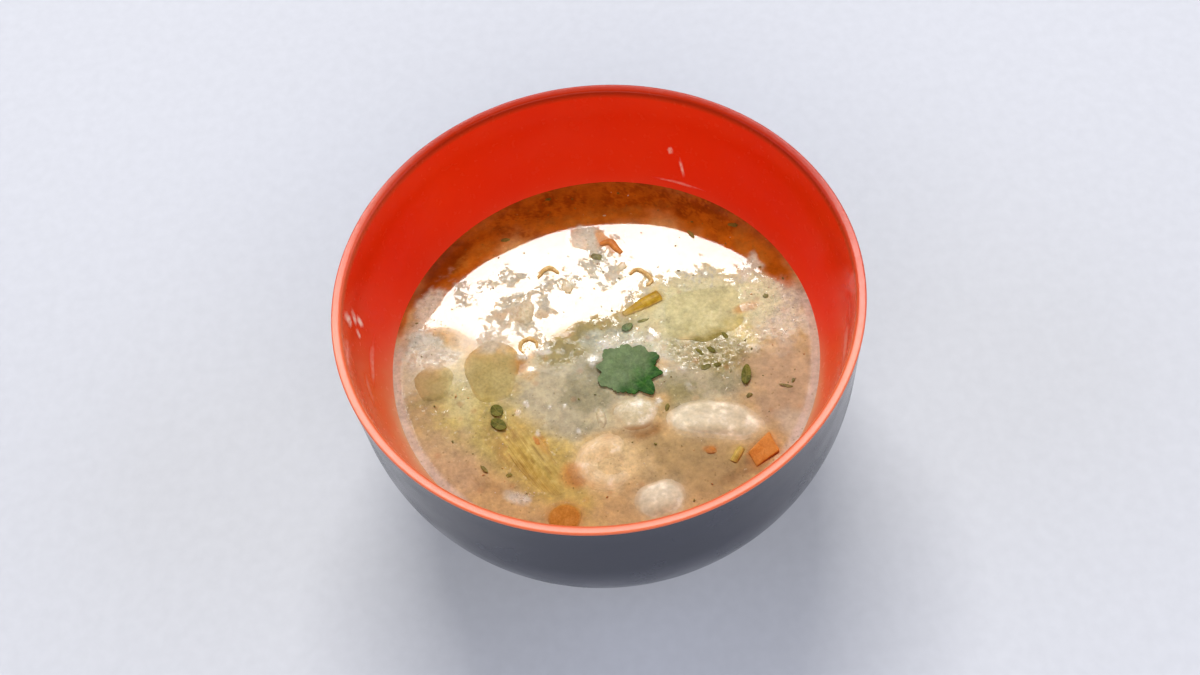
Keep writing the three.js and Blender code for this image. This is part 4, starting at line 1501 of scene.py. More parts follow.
@dataclass
class Leaf(FloatingPiece):
    """A thin wavy leaf, thickened from a flat sheet."""

    reach: float = 1.0  # of the middle, or half the length of an oval leaf
    width: float = 0.0  # of an oval leaf
    lobes: Sequence[Triple] = ()  # degrees, reach past the middle, breadth
    teeth: float = 0.0
    veil: Triple = (0.0, 0.0, 1.0)  # painted sheen over its left: strength, and where it fades from and to
    edge_veil: float = 0.0  # how much broth lies over its edge
    thickness: float = 0.36
    wave: Callable[[float, float], float] = lambda x, y: 0.0
    spokes: int = 240
    rings: int = 22

    def reach_at(self, angle: float) -> float:
        """Outlines the leaf.

        Args:
            angle: The angle round its middle.

        Returns:
            How far it reaches from its middle there.
        """
        if self.width:
            reach = 1 / math.hypot(math.cos(angle) / (self.reach / 2), math.sin(angle) / (self.width / 2))
            return reach * (1 + 0.12 * math.exp(-angle * angle / 0.1))
        reach = self.reach
        for degrees, extra, breadth in self.lobes:
            away = (angle - math.radians(degrees)) % (2 * math.pi)
            turn = min(away, 2 * math.pi - away) / math.radians(breadth)
            reach += extra * math.exp(-turn * turn)
        tooth = abs(math.sin(13 * angle + 1.5 * math.sin(3 * angle))) ** 0.7
        return reach * (1 - self.teeth * (1 - tooth))

    def vein(self, place: Vector) -> float:
        """Marks the veins.

        Args:
            place: A place in the leaf.

        Returns:
            How close it is to a vein, from 0 to 1.
        """
        angle = math.atan2(place.y, place.x)
        reach = math.hypot(place.x, place.y)
        if self.width:
            ribs = abs(math.sin(place.x * 3.2 - abs(place.y) * 2.2)) * abs(place.y)
            return max(1 - ease(0.04, 0.14, abs(place.y)), 0.4 * (1 - ease(0.02, 0.1, ribs)))
        nearest = 0.0
        for degrees, extra, _ in self.lobes:
            away = math.remainder(angle - math.radians(degrees), 2 * math.pi)
            if abs(away) < 0.5:
                off = abs(reach * math.sin(away))
                nearest = max(nearest, 1 - ease(0.03, 0.16 + 0.05 * extra, off))
                side = abs(math.sin(reach * 2.6 - off * 2.8)) * 0.5 + off * 0.12
                nearest = max(nearest, 0.45 * (1 - ease(0.04, 0.16, side)))
        return nearest * 0.45

    def model(self) -> Object:
        """Models the leaf from a flat turned disc, then gives it a thickness.

        Returns:
            The leaf.
        """
        profile = [(1 - (i / self.rings) ** 1.15, 0.0) for i in range(self.rings + 1)]
        piece = turned(self.node + "_blade", profile, self.spokes)
        if piece.data.polygons[0].normal.z < 0:
            piece.data.flip_normals()

        def place(point: Vector) -> Vector:
            """Shapes a point of the disc.

            Args:
                point: The point in millimetres.

            Returns:
                Where it goes.
            """
            angle = math.atan2(point.y, point.x)
            reach = math.hypot(point.x, point.y) * self.reach_at(angle)
            x, y = reach * math.cos(angle), reach * math.sin(angle)
            crinkle = 0.05 * torn(Vector((x / 1.1, y / 1.1, self.at[0])))
            return Vector((x, y, self.wave(x, y) + crinkle))

        reshape(piece, place)
        apply_modifier(piece, "SOLIDIFY", thickness=self.thickness * MM, offset=0.0)
        self.keep_places(piece, self.vein)
        return piece

    def sunk(self, place: Vector) -> float:
        """Veils the far left of the leaf in a painted sheen, and sinks its edge under the broth.

        Args:
            place: A place in the leaf.

        Returns:
            How much it is veiled, from 0 to 1.
        """
        most, start, end = self.veil
        side = most * (1 - ease(start, end, place.x - place.y + 3 * noise.noise(place / 3)))
        share = math.hypot(place.x, place.y) / self.reach_at(math.atan2(place.y, place.x))
        patchy = self.cover * (1 + 0.6 * noise.noise(place / 1.6))
        return max(patchy, side, self.edge_veil * ease(0.4, 0.95, share))


@dataclass
class CarrotBlock(FloatingPiece):
    """An uneven four-cornered block of carrot, softened and narrower below, its top at z = 0."""

    corners: Sequence[Spot] = ((1.8, 3.9), (-3.5, -0.2), (-2.3, -4.0), (3.2, -0.9))
    thickness: float = 3.4
    narrowing: float = 0.35
    soft: float = 0.55  # width of the bevel
    spread: float = 0.45  # how far the corners are moved out to make up for it

    def model(self) -> Object:
        """Models the block by extruding its outline and bevelling the edges.

        Returns:
            The block.
        """
        bpy.ops.object.select_all(action="DESELECT")
        bpy.ops.mesh.primitive_circle_add(vertices=4, radius=MM, fill_type="NGON")
        piece = begin(self.node + "_cut")
        middle = Vector((sum(c[0] for c in self.corners) / 4, sum(c[1] for c in self.corners) / 4))
        for vertex, (x, y) in zip(piece.data.vertices, self.corners):
            out = (Vector((x, y)) - middle).normalized() * self.spread
            vertex.co = Vector((x + out.x, y + out.y, -self.thickness)) * MM
        bpy.ops.object.mode_set(mode="EDIT")
        bpy.ops.mesh.select_all(action="SELECT")
        bpy.ops.mesh.extrude_region_move(TRANSFORM_OT_translate={"value": (0, 0, self.thickness * MM)})
        bpy.ops.mesh.select_all(action="SELECT")
        bpy.ops.mesh.normals_make_consistent(inside=False)
        bpy.ops.object.mode_set(mode="OBJECT")
        apply_modifier(piece, "BEVEL", width=self.soft * MM, segments=4, limit_method="ANGLE")
        apply_modifier(piece, "TRIANGULATE")
        bpy.ops.object.mode_set(mode="EDIT")
        bpy.ops.mesh.select_all(action="SELECT")
        bpy.ops.mesh.subdivide(number_cuts=7)
        bpy.ops.object.mode_set(mode="OBJECT")

        def place(point: Vector) -> Vector:
            """Narrows the block below and makes its faces uneven.

            Args:
                point: The point in millimetres.

            Returns:
                Where it goes.
            """
            share = 1 + self.narrowing * min(0.0, point.z) / self.thickness
            narrowed = Vector((point.x * share, point.y * share, point.z))
            return narrowed + Vector((0.12, 0.1, 0.1)) * (torn(point / 1.8) - 0.8)

        reshape(piece, place)
        self.keep_places(piece, lambda place: 0.4 * ease(-0.5, 0.6, place.x + place.y * 0.4))
        return piece


def coriander_wave(x: float, y: float) -> float:
    """The waves of the coriander leaf, cupped to its edge."""
    return 0.22 * math.sin(0.9 * x + 0.5) * math.cos(0.7 * y) + 0.006 * (x * x + y * y) - 0.1


def cabbage_wave(x: float, y: float) -> float:
    """The slow waves of the cabbage leaf, drooping to its edge."""
    return 0.18 * math.sin(0.45 * x) * math.cos(0.5 * y) - 0.002 * (x * x + y * y)


CORIANDER_LOBES = (
    (21, 2.1, 13), (-16, 2.1, 10), (-55, 3.1, 12), (-86, 0.7, 9), (-120, 0.5, 12),
    (200, 1.8, 15), (164, 1.6, 9), (130, 1.8, 15), (90, 0.9, 13), (54, 1.2, 11),
)
CABBAGE_LOBES = ((35, 3.2, 28), (-20, 2.6, 24), (150, 2.4, 30), (205, 2.8, 26), (265, 0.6, 20))

FLOATING: tuple[FloatingPiece, ...] = (
    # The coriander leaf's grey-green veil over its far left is a painted sheen
    Leaf("coriander_leaf", FRESH_LEAF, (5, -6, 0.35), lap=0.12, reach=6.3, lobes=CORIANDER_LOBES,
         teeth=0.06, veil=(0.72, -1.0, 8.0), sheen_tint="#6E7E58", wave=coriander_wave),
    Leaf("coriander_sprig", FRESH_LEAF, (6.2, 5.9, 0.3), 25, lap=0.12, cover=0.25, reach=2.8, width=2.0,
         wave=lambda x, y: 0.1 * x * x, spokes=64, rings=8),
    Leaf("lime_leaf_upper", COOKED_LEAF, (-27.1, -12.2, 0.3), -60, lap=0.12, reach=3.2, width=2.9,
         wave=lambda x, y: 0.06 * x * x, spokes=80, rings=10),
    Leaf("lime_leaf_lower", COOKED_LEAF, (-27, -15.9, 0.3), -40, lap=0.12, reach=4.0, width=2.7,
         wave=lambda x, y: 0.05 * x * x, spokes=80, rings=10),
    Leaf("basil_leaf", COOKED_LEAF, (32.4, -11.8, 0.3), 76, lap=0.12, reach=5.0, width=2.3,
         wave=lambda x, y: 0.05 * x * x, spokes=80, rings=10),
    Leaf("cabbage_leaf", CABBAGE, (25, 6.8, 0.1), lap=0.5, shore=1.5, cover=0.68, reach=7.2,
         lobes=CABBAGE_LOBES, edge_veil=1.0, thickness=0.72, wave=cabbage_wave, spokes=160),
    Slice("galangal_slice_large", ROOT, (-27.3, -0.7, 0.3), tilt=(-1, 0), lap=0.4, shore=0.3, cover=0.1,
          size=(13.4, 18.6, 3.6), clear_to=0.66, fade=(0.0, 7.0)),
    Slice("galangal_slice_small", ROOT, (-41.8, -2, 0.2), tilt=(0, -2), lap=0.4, shore=0.4, cover=0.35,
          size=(10, 11.6, 3), clear_to=0.6, fade=(-2.0, 3.0)),
    Lemongrass("lemongrass_sheath", LEMONGRASS, (-19, -26.6, 0), lap=0.8, shore=0.5, cover=0.1,
               section=(9.4, 2.4),
               route=((-4.6, 8.8, 0.1), (-1.9, 3.1, 0.9), (1.3, -3.2, 0.9), (4.9, -9.4, 0.1)),
               width_at=grass_width, relief=0.04),
    Prawn("prawn", PRAWN, (-2.4, -30, -1.1), lap=0.16, shore=6.0, cover=0.2, section=(7.4, 5.2),
          route=curled((5.4, 4.7), 44, 322), width_at=prawn_width, steps=140),
    Chunk("chicken_strip", CHICKEN, (23.2, -22.9, -1.6), -14, (3, 0), lap=0.16, shore=8.0,
          size=(24, 11.6, 8), bumps=0.07, bend=-1.5, rough=0.06, fibre=(3.0, 2.4, 2.4)),
    Chunk("chicken_piece", CHICKEN, (8, -40.6, -1.5), 12, lap=0.16, shore=8.0,
          size=(12.4, 10.6, 7), power=0.8, rough=0.06, fibre=(3.0, 2.4, 2.4)),
    Slice("mushroom_cap", MUSHROOM, (5.4, -17.9, 0.3), tilt=(5, 0), lap=0.3, shore=6.0,
          size=(10, 9.4, 3), dome=2.0, rounding=0.8, drop=0.6, browned=0.9, relief=0.12, edge_veil=0.0),
    Chunk("mushroom_shred", MUSHROOM, (-3, -17.7, -0.6), 96, lap=0.6, shore=0.8,
          size=(6.4, 2.9, 3), bend=0.4, fineness=5),
    Chunk("mushroom_piece", MUSHROOM, (-18.4, 14.2, -1.3), 78, lap=0.6, shore=0.8,
          size=(10.5, 7.6, 4), bumps=0.08, rough=0.3),
    CarrotBlock("carrot_block", CARROT, (33.2, -31.7, 1), tilt=(5, -4), lap=0.6, shore=0.2),
    Slice("carrot_round", SOAKED_CARROT, (-14, -42.1, 0.4), lap=0.3, shore=0.3, size=(7.8, 7.8, 2.6),
          wobble=0.02, rounding=1.2, drop=0.8, rind=0.5, edge_veil=0.5, clear_to=0.8),
    Strip("spring_onion", LEMONGRASS, (27, -32, 0), lap=0.5, shore=0.4, section=(2, 1.6),
          route=((1.2, 1.6, -0.2), (0.15, 0.2, 0.2), (-1.3, -1.8, -0.1)), steps=30),
    Strip("ginger_strip", GINGER, (10.9, 12.3, 0.1), lap=0.6, shore=0.5, section=(3.4, 1.8),
          route=((-5.2, -2.5, 0), (0, -0.2, 0.2), (4.6, 1.8, 0.2)), width_at=ginger_width),
    Strip("shallot_curl_right", SHALLOT, (11.6, 19.8, 0.25), lap=0.3, shore=0.2, section=(1.2, 1.2),
          route=((-2.9, 1.5, 0), (-0.9, 2.6, 0), (1.3, 0.9, 0), (2.3, -1.3, 0), (0.9, -2.5, 0)),
          width_at=tapered),
    Strip("shallot_curl_left", SHALLOT, (-11.3, 24.8, 0.25), lap=0.3, shore=0.2, section=(1.2, 1.2),
          route=((-2.6, -0.9, 0), (-1, 1.1, 0), (0.8, 1.6, 0), (2.7, -0.3, 0)), width_at=tapered),
    Strip("shallot_curl_middle", SHALLOT, (-18, 4.4, 0.1), lap=0.3, shore=0.2, section=(1.1, 1.1),
          route=curled((2.1, 2.1), -20, 230), width_at=tapered),
    Strip("chilli_strip", CHILLI, (5, 30, 0.2), lap=0.5, shore=0.3, section=(2, 1.3),
          route=((-2.5, 1.6, 0), (0.2, 1.9, 0), (1.3, 0, 0), (2.6, -2, 0)), width_at=tapered),
)


# ---- The broth ----


@dataclass
class Broth:
    """The body of broth: a fine skin that climbs the wall, and fills the hollow."""

    level: float = LEVEL
    hollow: Spot = (56.75, 45.75)  # half width and depth of the hollow that it fills
    hollow_top: float = 58.0
    segments: int = 560
    rings: int = 150
    bleed_width: float = 0.8  # how far a piece shows through the broth round it
    clear_depth: float = 0.8  # how far down a sunk part still shows
    waterline: float = 0.18  # how near the skin a point has to be, to be on the waterline
    finish: CloudyBroth = field(default_factory=CloudyBroth)
    finishes: list[WetFood] = field(default_factory=list)  # of the piece at each waterline point

    def build(self, pieces: Sequence[Object]) -> Object:
        """Models and dresses the broth.

        Args:
            pieces: The floating pieces, which show through the skin.

        Returns:
            The broth, which replaces the plain one.
        """
        edge = math.degrees(math.asin((self.level + 0.6 - self.hollow_top) / self.hollow[1]))
        side = arc((0, self.hollow_top), self.hollow, -90, edge, 12)
        reach = side[-1][0]
        top = [(reach * (1 - i / self.rings) ** 0.94, self.level) for i in range(1, self.rings)]
        broth = turned("broth_body", [*side, *top, (0, self.level)], self.segments)
        shores = self.waterlines(pieces)

        def place(point: Vector) -> Vector:
            """Lifts a point of the top to the skin.

            Args:
                point: The point in millimetres.

            Returns:
                Where it goes.
            """
            if point.z < self.level - 0.01:
                return point
            return Vector((point.x, point.y, self.level + SKIN.height(point.x, point.y)))

        reshape(broth, place)
        places = points(broth)
        looks = [SKIN.look(spot.x, spot.y) for spot in places]
        sunk, owners = self.flesh_below(pieces)
        tints = []
        for (x, y, z), look in zip(places, looks):
            _, index, away = shores.find((x, y, 0))
            finish, share = self.finishes[index], math.exp(-away / self.bleed_width)
            if z > self.level - 0.5:
                _, _, face, depth = sunk.ray_cast((x, y, z + 0.02), (0, 0, -1), 4.0)
                if face is not None and math.exp(-depth / self.clear_depth) > share:
                    finish, share = owners[face], math.exp(-depth / self.clear_depth)
            colour = Vector(look.tint[:3]).lerp(Vector(linear(finish.middle)[:3]), finish.bleed * share)
            tints.append((*colour, 1.0))
        store(broth, "broth_tint", "FLOAT_COLOR", tints)
        store(broth, "curd", "FLOAT", [look.curd for look in looks])
        store(broth, "dull", "FLOAT", [look.dull for look in looks])
        broth.data.materials.append(self.finish.material())
        smooth(broth, 60)
        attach(broth, BODY)
        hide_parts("broth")
        return broth

    def flesh_below(self, pieces: Sequence[Object]) -> tuple[BVHTree, list[WetFood]]:
        """Gathers the pieces' faces in millimetres, to find what lies under the skin.

        Args:
            pieces: The floating pieces.

        Returns:
            A tree of all their faces, and the finish of each face.
        """
        corners: list[Vector] = []
        faces: list[list[int]] = []
        owners: list[WetFood] = []
        for piece, part in zip(pieces, FLOATING):
            start = len(corners)
            corners.extend(points(piece))
            faces.extend([start + index for index in face.vertices] for face in piece.data.polygons)
            owners.extend([part.finish] * len(piece.data.polygons))
        return BVHTree.FromPolygons(corners, faces), owners

    def waterlines(self, pieces: Sequence[Object]) -> KDTree:
        """Gathers the points where the pieces break the skin.

        Args:
            pieces: The floating pieces.

        Returns:
            A tree of those points in millimetres, flattened.
        """
        spots: list[Triple] = []
        self.finishes.clear()
        for piece, part in zip(pieces, FLOATING):
            for x, y, z in points(piece):
                if abs(z - self.level - SKIN.height(x, y)) < self.waterline:
                    spots.append((x, y, 0.0))
                    self.finishes.append(part.finish)
        tree = KDTree(len(spots))
        for index, spot in enumerate(spots):
            tree.insert(spot, index)
        tree.balance()
        return tree


# ---- Flecks, froth and bubbles ----


class Fleck(Enum):
    """What a fleck on the broth is."""

    HERB = "herb"
    CHILLI = "chilli"
    CURD = "curd"


FLECK_FINISHES = {Fleck.HERB: COOKED_LEAF, Fleck.CHILLI: CHILLI, Fleck.CURD: MUSHROOM}

# x, y, length, width and turn in degrees of each fleck that shows singly
FLECKS: dict[Fleck, tuple[Flake, ...]] = {
    Fleck.HERB: (
        (22.6, -3.6, 2.2, 1, -50), (25.4, -3.4, 2.4, 1.2, -45), (23.4, -8, 2.6, 1.4, 10),
        (26.2, -7.8, 1.6, 1, -10), (29.3, 0, 2.2, 0.9, -60), (-31.2, -27, 2.6, 1, -55),
        (-25.6, -29.4, 1.4, 1, 0), (41.2, -16, 3.2, 0.8, -22), (43.1, -14.8, 1.2, 0.8, 60),
        (32.2, -17.2, 1.6, 1, 30), (12.8, -17.4, 2.2, 1, 70), (40.8, 9.4, 1.4, 1.2, 0),
        (1.3, 28, 3, 1.8, -35), (25.6, 31, 2.8, 1, -65), (-21, 37, 2.4, 1.2, 0),
        (36.5, 32, 2.4, 1.2, -20), (-9, 48, 1.6, 0.8, 10), (10.4, 7.4, 2.6, 0.8, 10),
    ),
    Fleck.CHILLI: (
        (21.2, -30.2, 2.6, 1.6, 0), (-18.6, -21.5, 3, 1.3, -65),
    ),
    Fleck.CURD: (
        (7, 23.9, 3, 2.2, 40), (-7, 19.8, 3.2, 2.2, -60),
    ),
}


@dataclass
class Sprinkles:
    """The flecks that show singly and the fine scatter of herb, curd and chilli between them."""

    seed: int = 7
    counts: tuple[int, int, int] = (90, 24, 10)  # of herb, chilli and curd
    films: Triple = (0.25, 0.5, 0.5)  # of broth over each kind
    out_to: float = 48.5

    def flake(self, mould: Object, fleck: Flake) -> Object:
        """Presses a copy of a ball into one flake that lies on the skin.

        Args:
            mould: The ball to copy.
            fleck: Its place to the right and to the far side, its length, width and turn in degrees.

        Returns:
            The flake.
        """
        x, y, length, width, turn = fleck
        piece = copy_of(mould)
        spin = Matrix.Rotation(math.radians(turn), 3, "Z")

        def place(point: Vector) -> Vector:
            """Presses a point of the ball flat and lays it on the skin.

            Args:
                point: The point in millimetres.

            Returns:
                Where it goes.
            """
            uneven = 1 + 0.35 * noise.noise(Vector((point.x * 1.7 + x, point.y * 1.7 + y, point.z)))
            flat = Vector((point.x * length / 2, point.y * width / 2, point.z * 0.14)) * uneven
            flat.z += 0.12 * math.sin(1.6 * flat.x + x) * math.cos(1.3 * flat.y)
            spot = spin @ flat
            return spot + Vector((x, y, LEVEL + SKIN.height(x, y) + 0.1))

        reshape(piece, place)
        return piece

    def build(self, clear_of: KDTree) -> list[Object]:
        """Models and dresses the flecks, one piece for each kind.

        Args:
            clear_of: The waterlines of the floating pieces.

        Returns:
            The joined flecks.
        """
        draw = random.Random(self.seed)
        made = []
        coarse, fine = ball("flake", 8, 5), ball("flake", 32, 20)
        for kind, count, film in zip(Fleck, self.counts, self.films):
            flakes = [self.flake(fine, fleck) for fleck in FLECKS[kind]]
            while len(flakes) < count:
                reach, angle = self.out_to * math.sqrt(draw.random()), 2 * math.pi * draw.random()
                x, y = reach * math.cos(angle), reach * math.sin(angle)
                size = 0.35 + 0.6 * draw.random() ** 2
                if clear_of.find((x, y, 0))[2] > 0.5 + size:
                    flakes.append(self.flake(coarse, (x, y, size, size * 0.6, draw.uniform(0, 360))))
            piece = joined(f"{kind.value}_flecks", flakes)
            places = points(piece)
            store(piece, "own_place", "FLOAT_VECTOR", places)
            store(piece, "marks", "FLOAT", [0.0] * len(places))
            store(piece, "film", "FLOAT", [film] * len(places))
            store(piece, "broth_tint", "FLOAT_COLOR", [SKIN.look(spot.x, spot.y).tint for spot in places])
            finish = FLECK_FINISHES[kind]
            piece.data.materials.append(finish.material())
            smooth(piece, 80)
            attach(piece, BODY)
            made.append(piece)
        for mould in (coarse, fine):
            bpy.data.objects.remove(mould)
        return made


@dataclass(frozen=True)
class FrothField:
    """A field of small bubbles."""

    x: float
    y: float
    long: float
    wide: float
    count: int
    largest: float


FROTH_FIELDS = (
    FrothField(43, 7, 4.5, 9, 110, 0.3),
    FrothField(-42, 14, 5, 7, 50, 0.3),
    FrothField(-22.5, -35.5, 2.6, 1.8, 30, 0.28),
    FrothField(5, 2.5, 8, 2, 24, 0.26),
    FrothField(-17, 3, 4, 2, 14, 0.26),
    FrothField(-18, -12.5, 7, 1.6, 8, 0.26),
    FrothField(-10, -20.5, 4, 1.2, 5, 0.26),
    FrothField(28, -4, 9, 5, 30, 0.26),
    FrothField(0, -8, 44, 36, 30, 0.24),
)


@dataclass
class Bubbles:
    """Froth and single bubbles: little domes that stand out of the skin."""

    seed: int = 21
    film: str = "#D8CCB0"
    out_to: float = 49.6
    sunk: float = 0.45  # how many radii its middle lies under the skin

    def build(self, clear_of: KDTree) -> Object:
        """Models and dresses all the bubbles as one piece.

        Args:
            clear_of: The waterlines of the floating pieces.

        Returns:
            The joined bubbles.
        """
        draw = random.Random(self.seed)
        mould = ball("bubble", 10, 6)
        domes = []
        for patch in FROTH_FIELDS:
            for _ in range(patch.count):
                reach, angle = math.sqrt(draw.random()), 2 * math.pi * draw.random()
                x = patch.x + patch.long * reach * math.cos(angle)
                y = patch.y + patch.wide * reach * math.sin(angle)
                radius = patch.largest * (0.35 + 0.65 * draw.random() ** 2)
                if math.hypot(x, y) > self.out_to or clear_of.find((x, y, 0))[2] < radius:
                    continue
                middle = Vector((x, y, LEVEL + SKIN.height(x, y) - self.sunk * radius))
                dome = copy_of(mould)
                reshape(dome, lambda point: point * radius + middle)
                domes.append(dome)
        bpy.data.objects.remove(mould)
        piece = joined("froth_bubbles", domes)
        tints = [SKIN.look(spot.x, spot.y).tint for spot in points(piece)]
        store(piece, "broth_tint", "FLOAT_COLOR", tints)
        piece.data.materials.append(self.material())
        smooth(piece, 80)
        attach(piece, BODY)
        return piece

    def material(self) -> Material:
        """A skin of broth over air: the broth's tint, paler, with a sharp gloss.

        Returns:
            The material.
        """
        material, tree, shader = blank_material("froth_film")
        tint = add(tree, "Attribute", attribute_name="broth_tint")
        place = add(tree, "TexCoord", output="Object")
        patchy = add(tree, "TexNoise", {"Vector": place, "Scale": 1500.0, "Detail": 2.0})
        share = add(tree, "MapRange", [patchy, 0.35, 0.65, 0.25, 0.7])
        colour = add(tree, "Mix", {0: share, 6: tint, 7: linear(self.film)}, 2, data_type="RGBA")
        feed(shader, {"Base Color": colour, "Roughness": 0.06, "IOR": 1.34})
        return material


@dataclass(frozen=True)
class Smear:
    """A dried drop or streak of soup on the wall; some are painted pale as highlights."""

    around: float  # degrees round the bowl
    height: float
    tall: float
    wide: float
    lean: float = 0.0  # degrees from upright
    strength: float = 0.6


SMEARS = (
    # On the far wall: a drop painted pale as its highlight, and a streak
    Smear(65, 48, 2.4, 2, 10, 0.8),
    Smear(61.5, 44, 5.5, 1.2, 22, 0.55),
    # High on the left wall: wet streaks painted pale as their highlights
    Smear(176, 61, 7, 3.4, 10, 1),
    Smear(173, 57, 6, 3, -10, 1),
    Smear(171.5, 53, 5.4, 2.4, 5, 1),
    Smear(175, 53, 4, 1.8, -5, 0.9),
    Smear(179, 45.6, 2.2, 15, 0, 0.3),
    Smear(188, 48.5, 2, 9, 14, 0.25),
    Smear(344, 52, 4.5, 14, 0, 0.3),
    Smear(350, 57, 3, 8, 0, 0.2),
    Smear(62, 39.9, 0.8, 16, 0, 0.3),
)


@dataclass
class Smears:
    """The dried drops and streaks on the bowl's wall, thin as a film; the pale patches high on the left wall
    and the drop on the far wall are painted highlights.
    """

    thick: float = 0.07
    pale_soup_and_highlight: str = "#F2CDB8"

    def build(self, bowl: Bowl) -> Object:
        """Models and dresses all the smears as one piece.

        Args:
            bowl: The bowl, which gives the wall and its lacquer.

        Returns:
            The joined smears.
        """
        mould = ball("dried_drop", 40, 24)
        made = []
        for smear in SMEARS:
            drop = copy_of(mould)
            lean = math.radians(smear.lean)
            own = points(drop)

            def place(point: Vector) -> Vector:
                """Presses a point of the ball against the wall.

                Args:
                    point: The point in millimetres.

                Returns:
                    Where it goes.
                """
                uneven = 1 + 0.4 * torn(Vector((point.x * 1.6 + smear.around, point.y * 1.6, 2.0)))
                across, up = point.x * smear.wide / 2 * uneven, point.y * smear.tall / 2 * uneven
                across, up = (
                    across * math.cos(lean) - up * math.sin(lean),
                    across * math.sin(lean) + up * math.cos(lean),
                )
                height = smear.height + up
                reach = bowl.wall_radius(height) - self.thick * (0.35 + point.z)
                angle = math.radians(smear.around) - across / bowl.hollow_radius
                return Vector((reach * math.cos(angle), reach * math.sin(angle), height))

            reshape(drop, place)
            films = [smear.strength * (1 - ease(0.25, 1.0, math.hypot(spot.x, spot.y))) for spot in own]
            store(drop, "film", "FLOAT", films)
            store(drop, "wall_sheen", "FLOAT", [bowl.wall_sheen(spot) for spot in points(drop)])
            made.append(drop)
        bpy.data.objects.remove(mould)
        piece = joined("soup_and_highlights", made)
        piece.data.materials.append(self.material(bowl.inside))
        smooth(piece, 80)
        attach(piece, BODY)
        return piece

    def material(self, under: RedLacquer) -> Material:
        """Soup dried to a pale film, through which the lacquer shows; on some smears the pale is a painted
        highlight.

        Args:
            under: The lacquer.

        Returns:
            The material.
        """
        material, tree, shader = blank_material("dried_soup_film")
        place = add(tree, "TexCoord", output="Object")
        film, wall_sheen = (add(tree, "Attribute", output="Fac", attribute_name=name) for name in ("film", "wall_sheen"))
        # Streaks left in it as it dried, 1 mm apart
        streaks = add(tree, "TexNoise", {"Vector": place, "Scale": 900.0, "Detail": 3.0})
        uneven = add(tree, "MapRange", [streaks, 0.3, 0.6, 0.3, 1.1])
        dried = add(tree, "Math", [film, uneven], operation="MULTIPLY", use_clamp=True)
        colour = linear(under.colour)
        # Under the film, the lacquer with the wall's painted sheen
        for share, layer in ((wall_sheen, under.sheen_orange), (dried, self.pale_soup_and_highlight)):
            colour = add(tree, "Mix", {0: share, 6: colour, 7: linear(layer)}, 2, data_type="RGBA")
        feed(shader, {
            "Base Color": colour,
            "Roughness": 0.3,
            "Specular IOR Level": 0.15,
        })
        return material


# ---- Camera, lights and floor ----


@dataclass(frozen=True)
class Light:
    """A soft panel of light that stands round the bowl."""

    name: str
    low: float  # its lowest degree over the horizon
    high: float
    width: float  # metres
    radiance: float
    turn: float = 0.0  # degrees round from behind the bowl
    colour: str = "#FFFDFA"


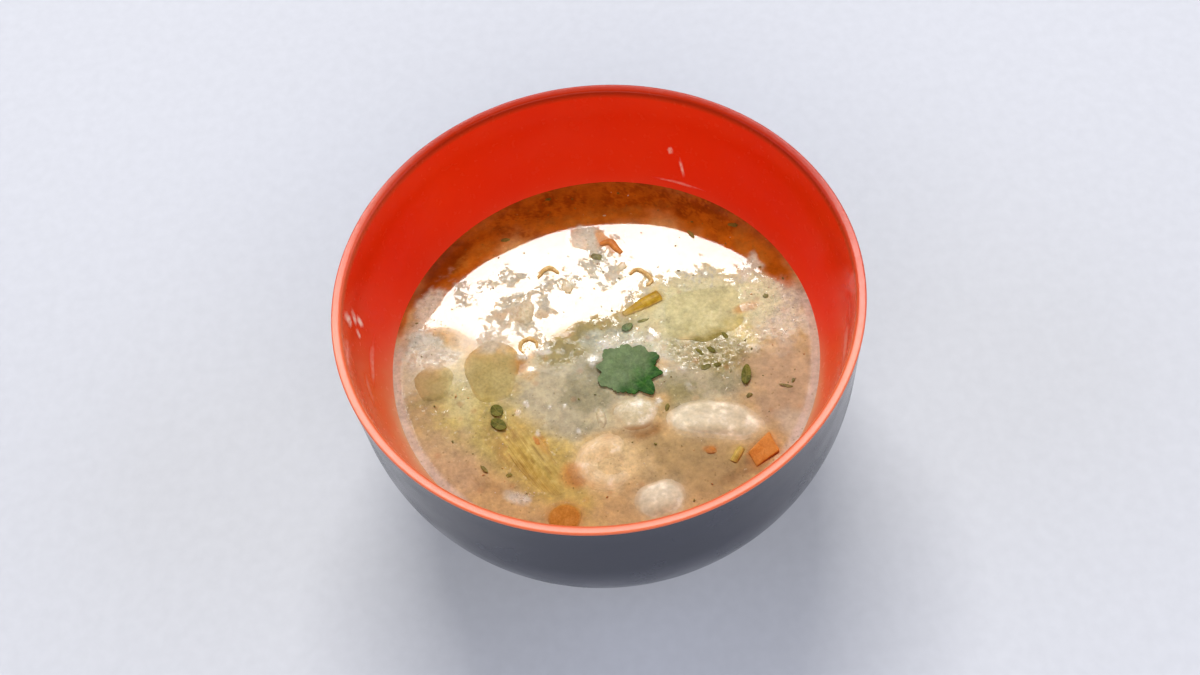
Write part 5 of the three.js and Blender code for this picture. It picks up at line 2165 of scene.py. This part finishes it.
@dataclass
class Studio:
    """A pale floor, a window-like soft light behind the bowl that fades upwards, and the camera."""

    lens: float = 43.456
    camera_place: Triple = (-0.595, -181.116, 335.794)
    elevation: float = 58.10
    roll: float = -7.81
    distance: float = 2.0  # metres from the soup to the lights
    world: float = 0.1
    lights: tuple[Light, ...] = (
        Light("window_light", 50.0, 57.8, 1.15, 33.0),
        Light("window_frame_light", 57.8, 58.5, 1.15, 13.0),
        Light("window_top_light", 58.5, 59.6, 1.15, 6.0),
        Light("ceiling_light", 59.6, 80.0, 1.4, 1.3),
        Light("room_light", 20.0, 55.0, 2.6, 2.9, 180.0),
        Light("left_light", 8.0, 45.0, 1.8, 2.7, 90.0, "#D6E0FF"),
        Light("right_light", 8.0, 45.0, 1.8, 3.0, -90.0, "#D6E0FF"),
    )

    def camera(self) -> None:
        """Makes the camera at its place and angle."""
        data = bpy.data.cameras.new("camera")
        data.lens = self.lens
        data.sensor_width = 36.0
        data.clip_start, data.clip_end = 0.01, 20.0
        camera = bpy.data.objects.new("camera", data)
        bpy.context.scene.collection.objects.link(camera)
        e, roll = math.radians(self.elevation), math.radians(self.roll)
        back = Vector((0, -math.cos(e), math.sin(e)))
        right = Vector((1, 0, 0))
        up = right.cross(-back)
        across = math.cos(roll) * right + math.sin(roll) * up
        upright = -math.sin(roll) * right + math.cos(roll) * up
        turn = Matrix((across, upright, back)).transposed().to_4x4()
        camera.matrix_world = Matrix.Translation(Vector(self.camera_place) * MM) @ turn
        bpy.context.scene.camera = camera

    def soft_light(self, panel: Light) -> None:
        """Sets up one soft panel.

        Args:
            panel: The light.
        """
        middle, turn = math.radians((panel.low + panel.high) / 2), math.radians(panel.turn)
        tall = 2 * self.distance * math.tan(math.radians((panel.high - panel.low) / 2))
        data = bpy.data.lights.new(panel.name, "AREA")
        data.shape = "RECTANGLE"
        data.size, data.size_y = panel.width, tall
        data.energy = panel.radiance * math.pi * panel.width * tall
        data.color = linear(panel.colour)[:3]
        light = bpy.data.objects.new(panel.name, data)
        level = math.cos(middle)
        out = Vector((-level * math.sin(turn), level * math.cos(turn), math.sin(middle)))
        light.location = Vector((0, 0.01, LEVEL * MM)) + out * self.distance
        light.rotation_euler = out.to_track_quat("Z", "Y").to_euler()
        bpy.context.scene.collection.objects.link(light)

    def floor(self) -> None:
        """Makes the floor, a sheet of pale card."""
        bpy.ops.object.select_all(action="DESELECT")
        bpy.ops.mesh.primitive_plane_add(size=8.0, location=(0, 0, -0.0002))
        floor = begin("floor")
        bpy.ops.object.transform_apply(location=True, rotation=True, scale=True)
        material, tree, shader = blank_material("pale_card")
        place = add(tree, "TexCoord", output="Object")
        fibres = add(tree, "TexNoise", {"Vector": place, "Scale": 300.0, "Detail": 3.0})
        colour = add(tree, "ValToRGB", [fibres], stops=[(0.3, "#BFC0C4"), (0.7, "#C3C4C8")])
        feed(shader, {"Base Color": colour, "Roughness": 0.9})
        floor.data.materials.append(material)

    def build(self) -> None:
        """Sets up the camera, the lights, the world and the floor."""
        self.camera()
        for panel in self.lights:
            self.soft_light(panel)
        world = bpy.data.worlds.new("pale_room")
        world.use_nodes = True
        background = world.node_tree.nodes["Background"]
        background.inputs["Color"].default_value = linear("#F2F3F8")
        background.inputs["Strength"].default_value = self.world
        bpy.context.scene.world = world
        bpy.context.scene.view_settings.view_transform = "Standard"
        self.floor()


# ---- Put together ----


def main() -> None:
    """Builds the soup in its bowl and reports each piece."""
    logging.basicConfig(level=logging.INFO, format="%(message)s")
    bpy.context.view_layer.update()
    Studio().build()
    log.info("studio ready")
    vessel, pot = Bowl(), Broth()
    made = [vessel.build(), Smears().build(vessel)]
    pieces = [part.build() for part in FLOATING]
    made += [*pieces, pot.build(pieces)]
    shores = pot.waterlines(pieces)
    made += [*Sprinkles().build(shores), Bubbles().build(shores)]
    for piece in made:
        log.info("%s: %d faces", piece.name, len(piece.data.polygons))


if __name__ == "__main__":
    main()
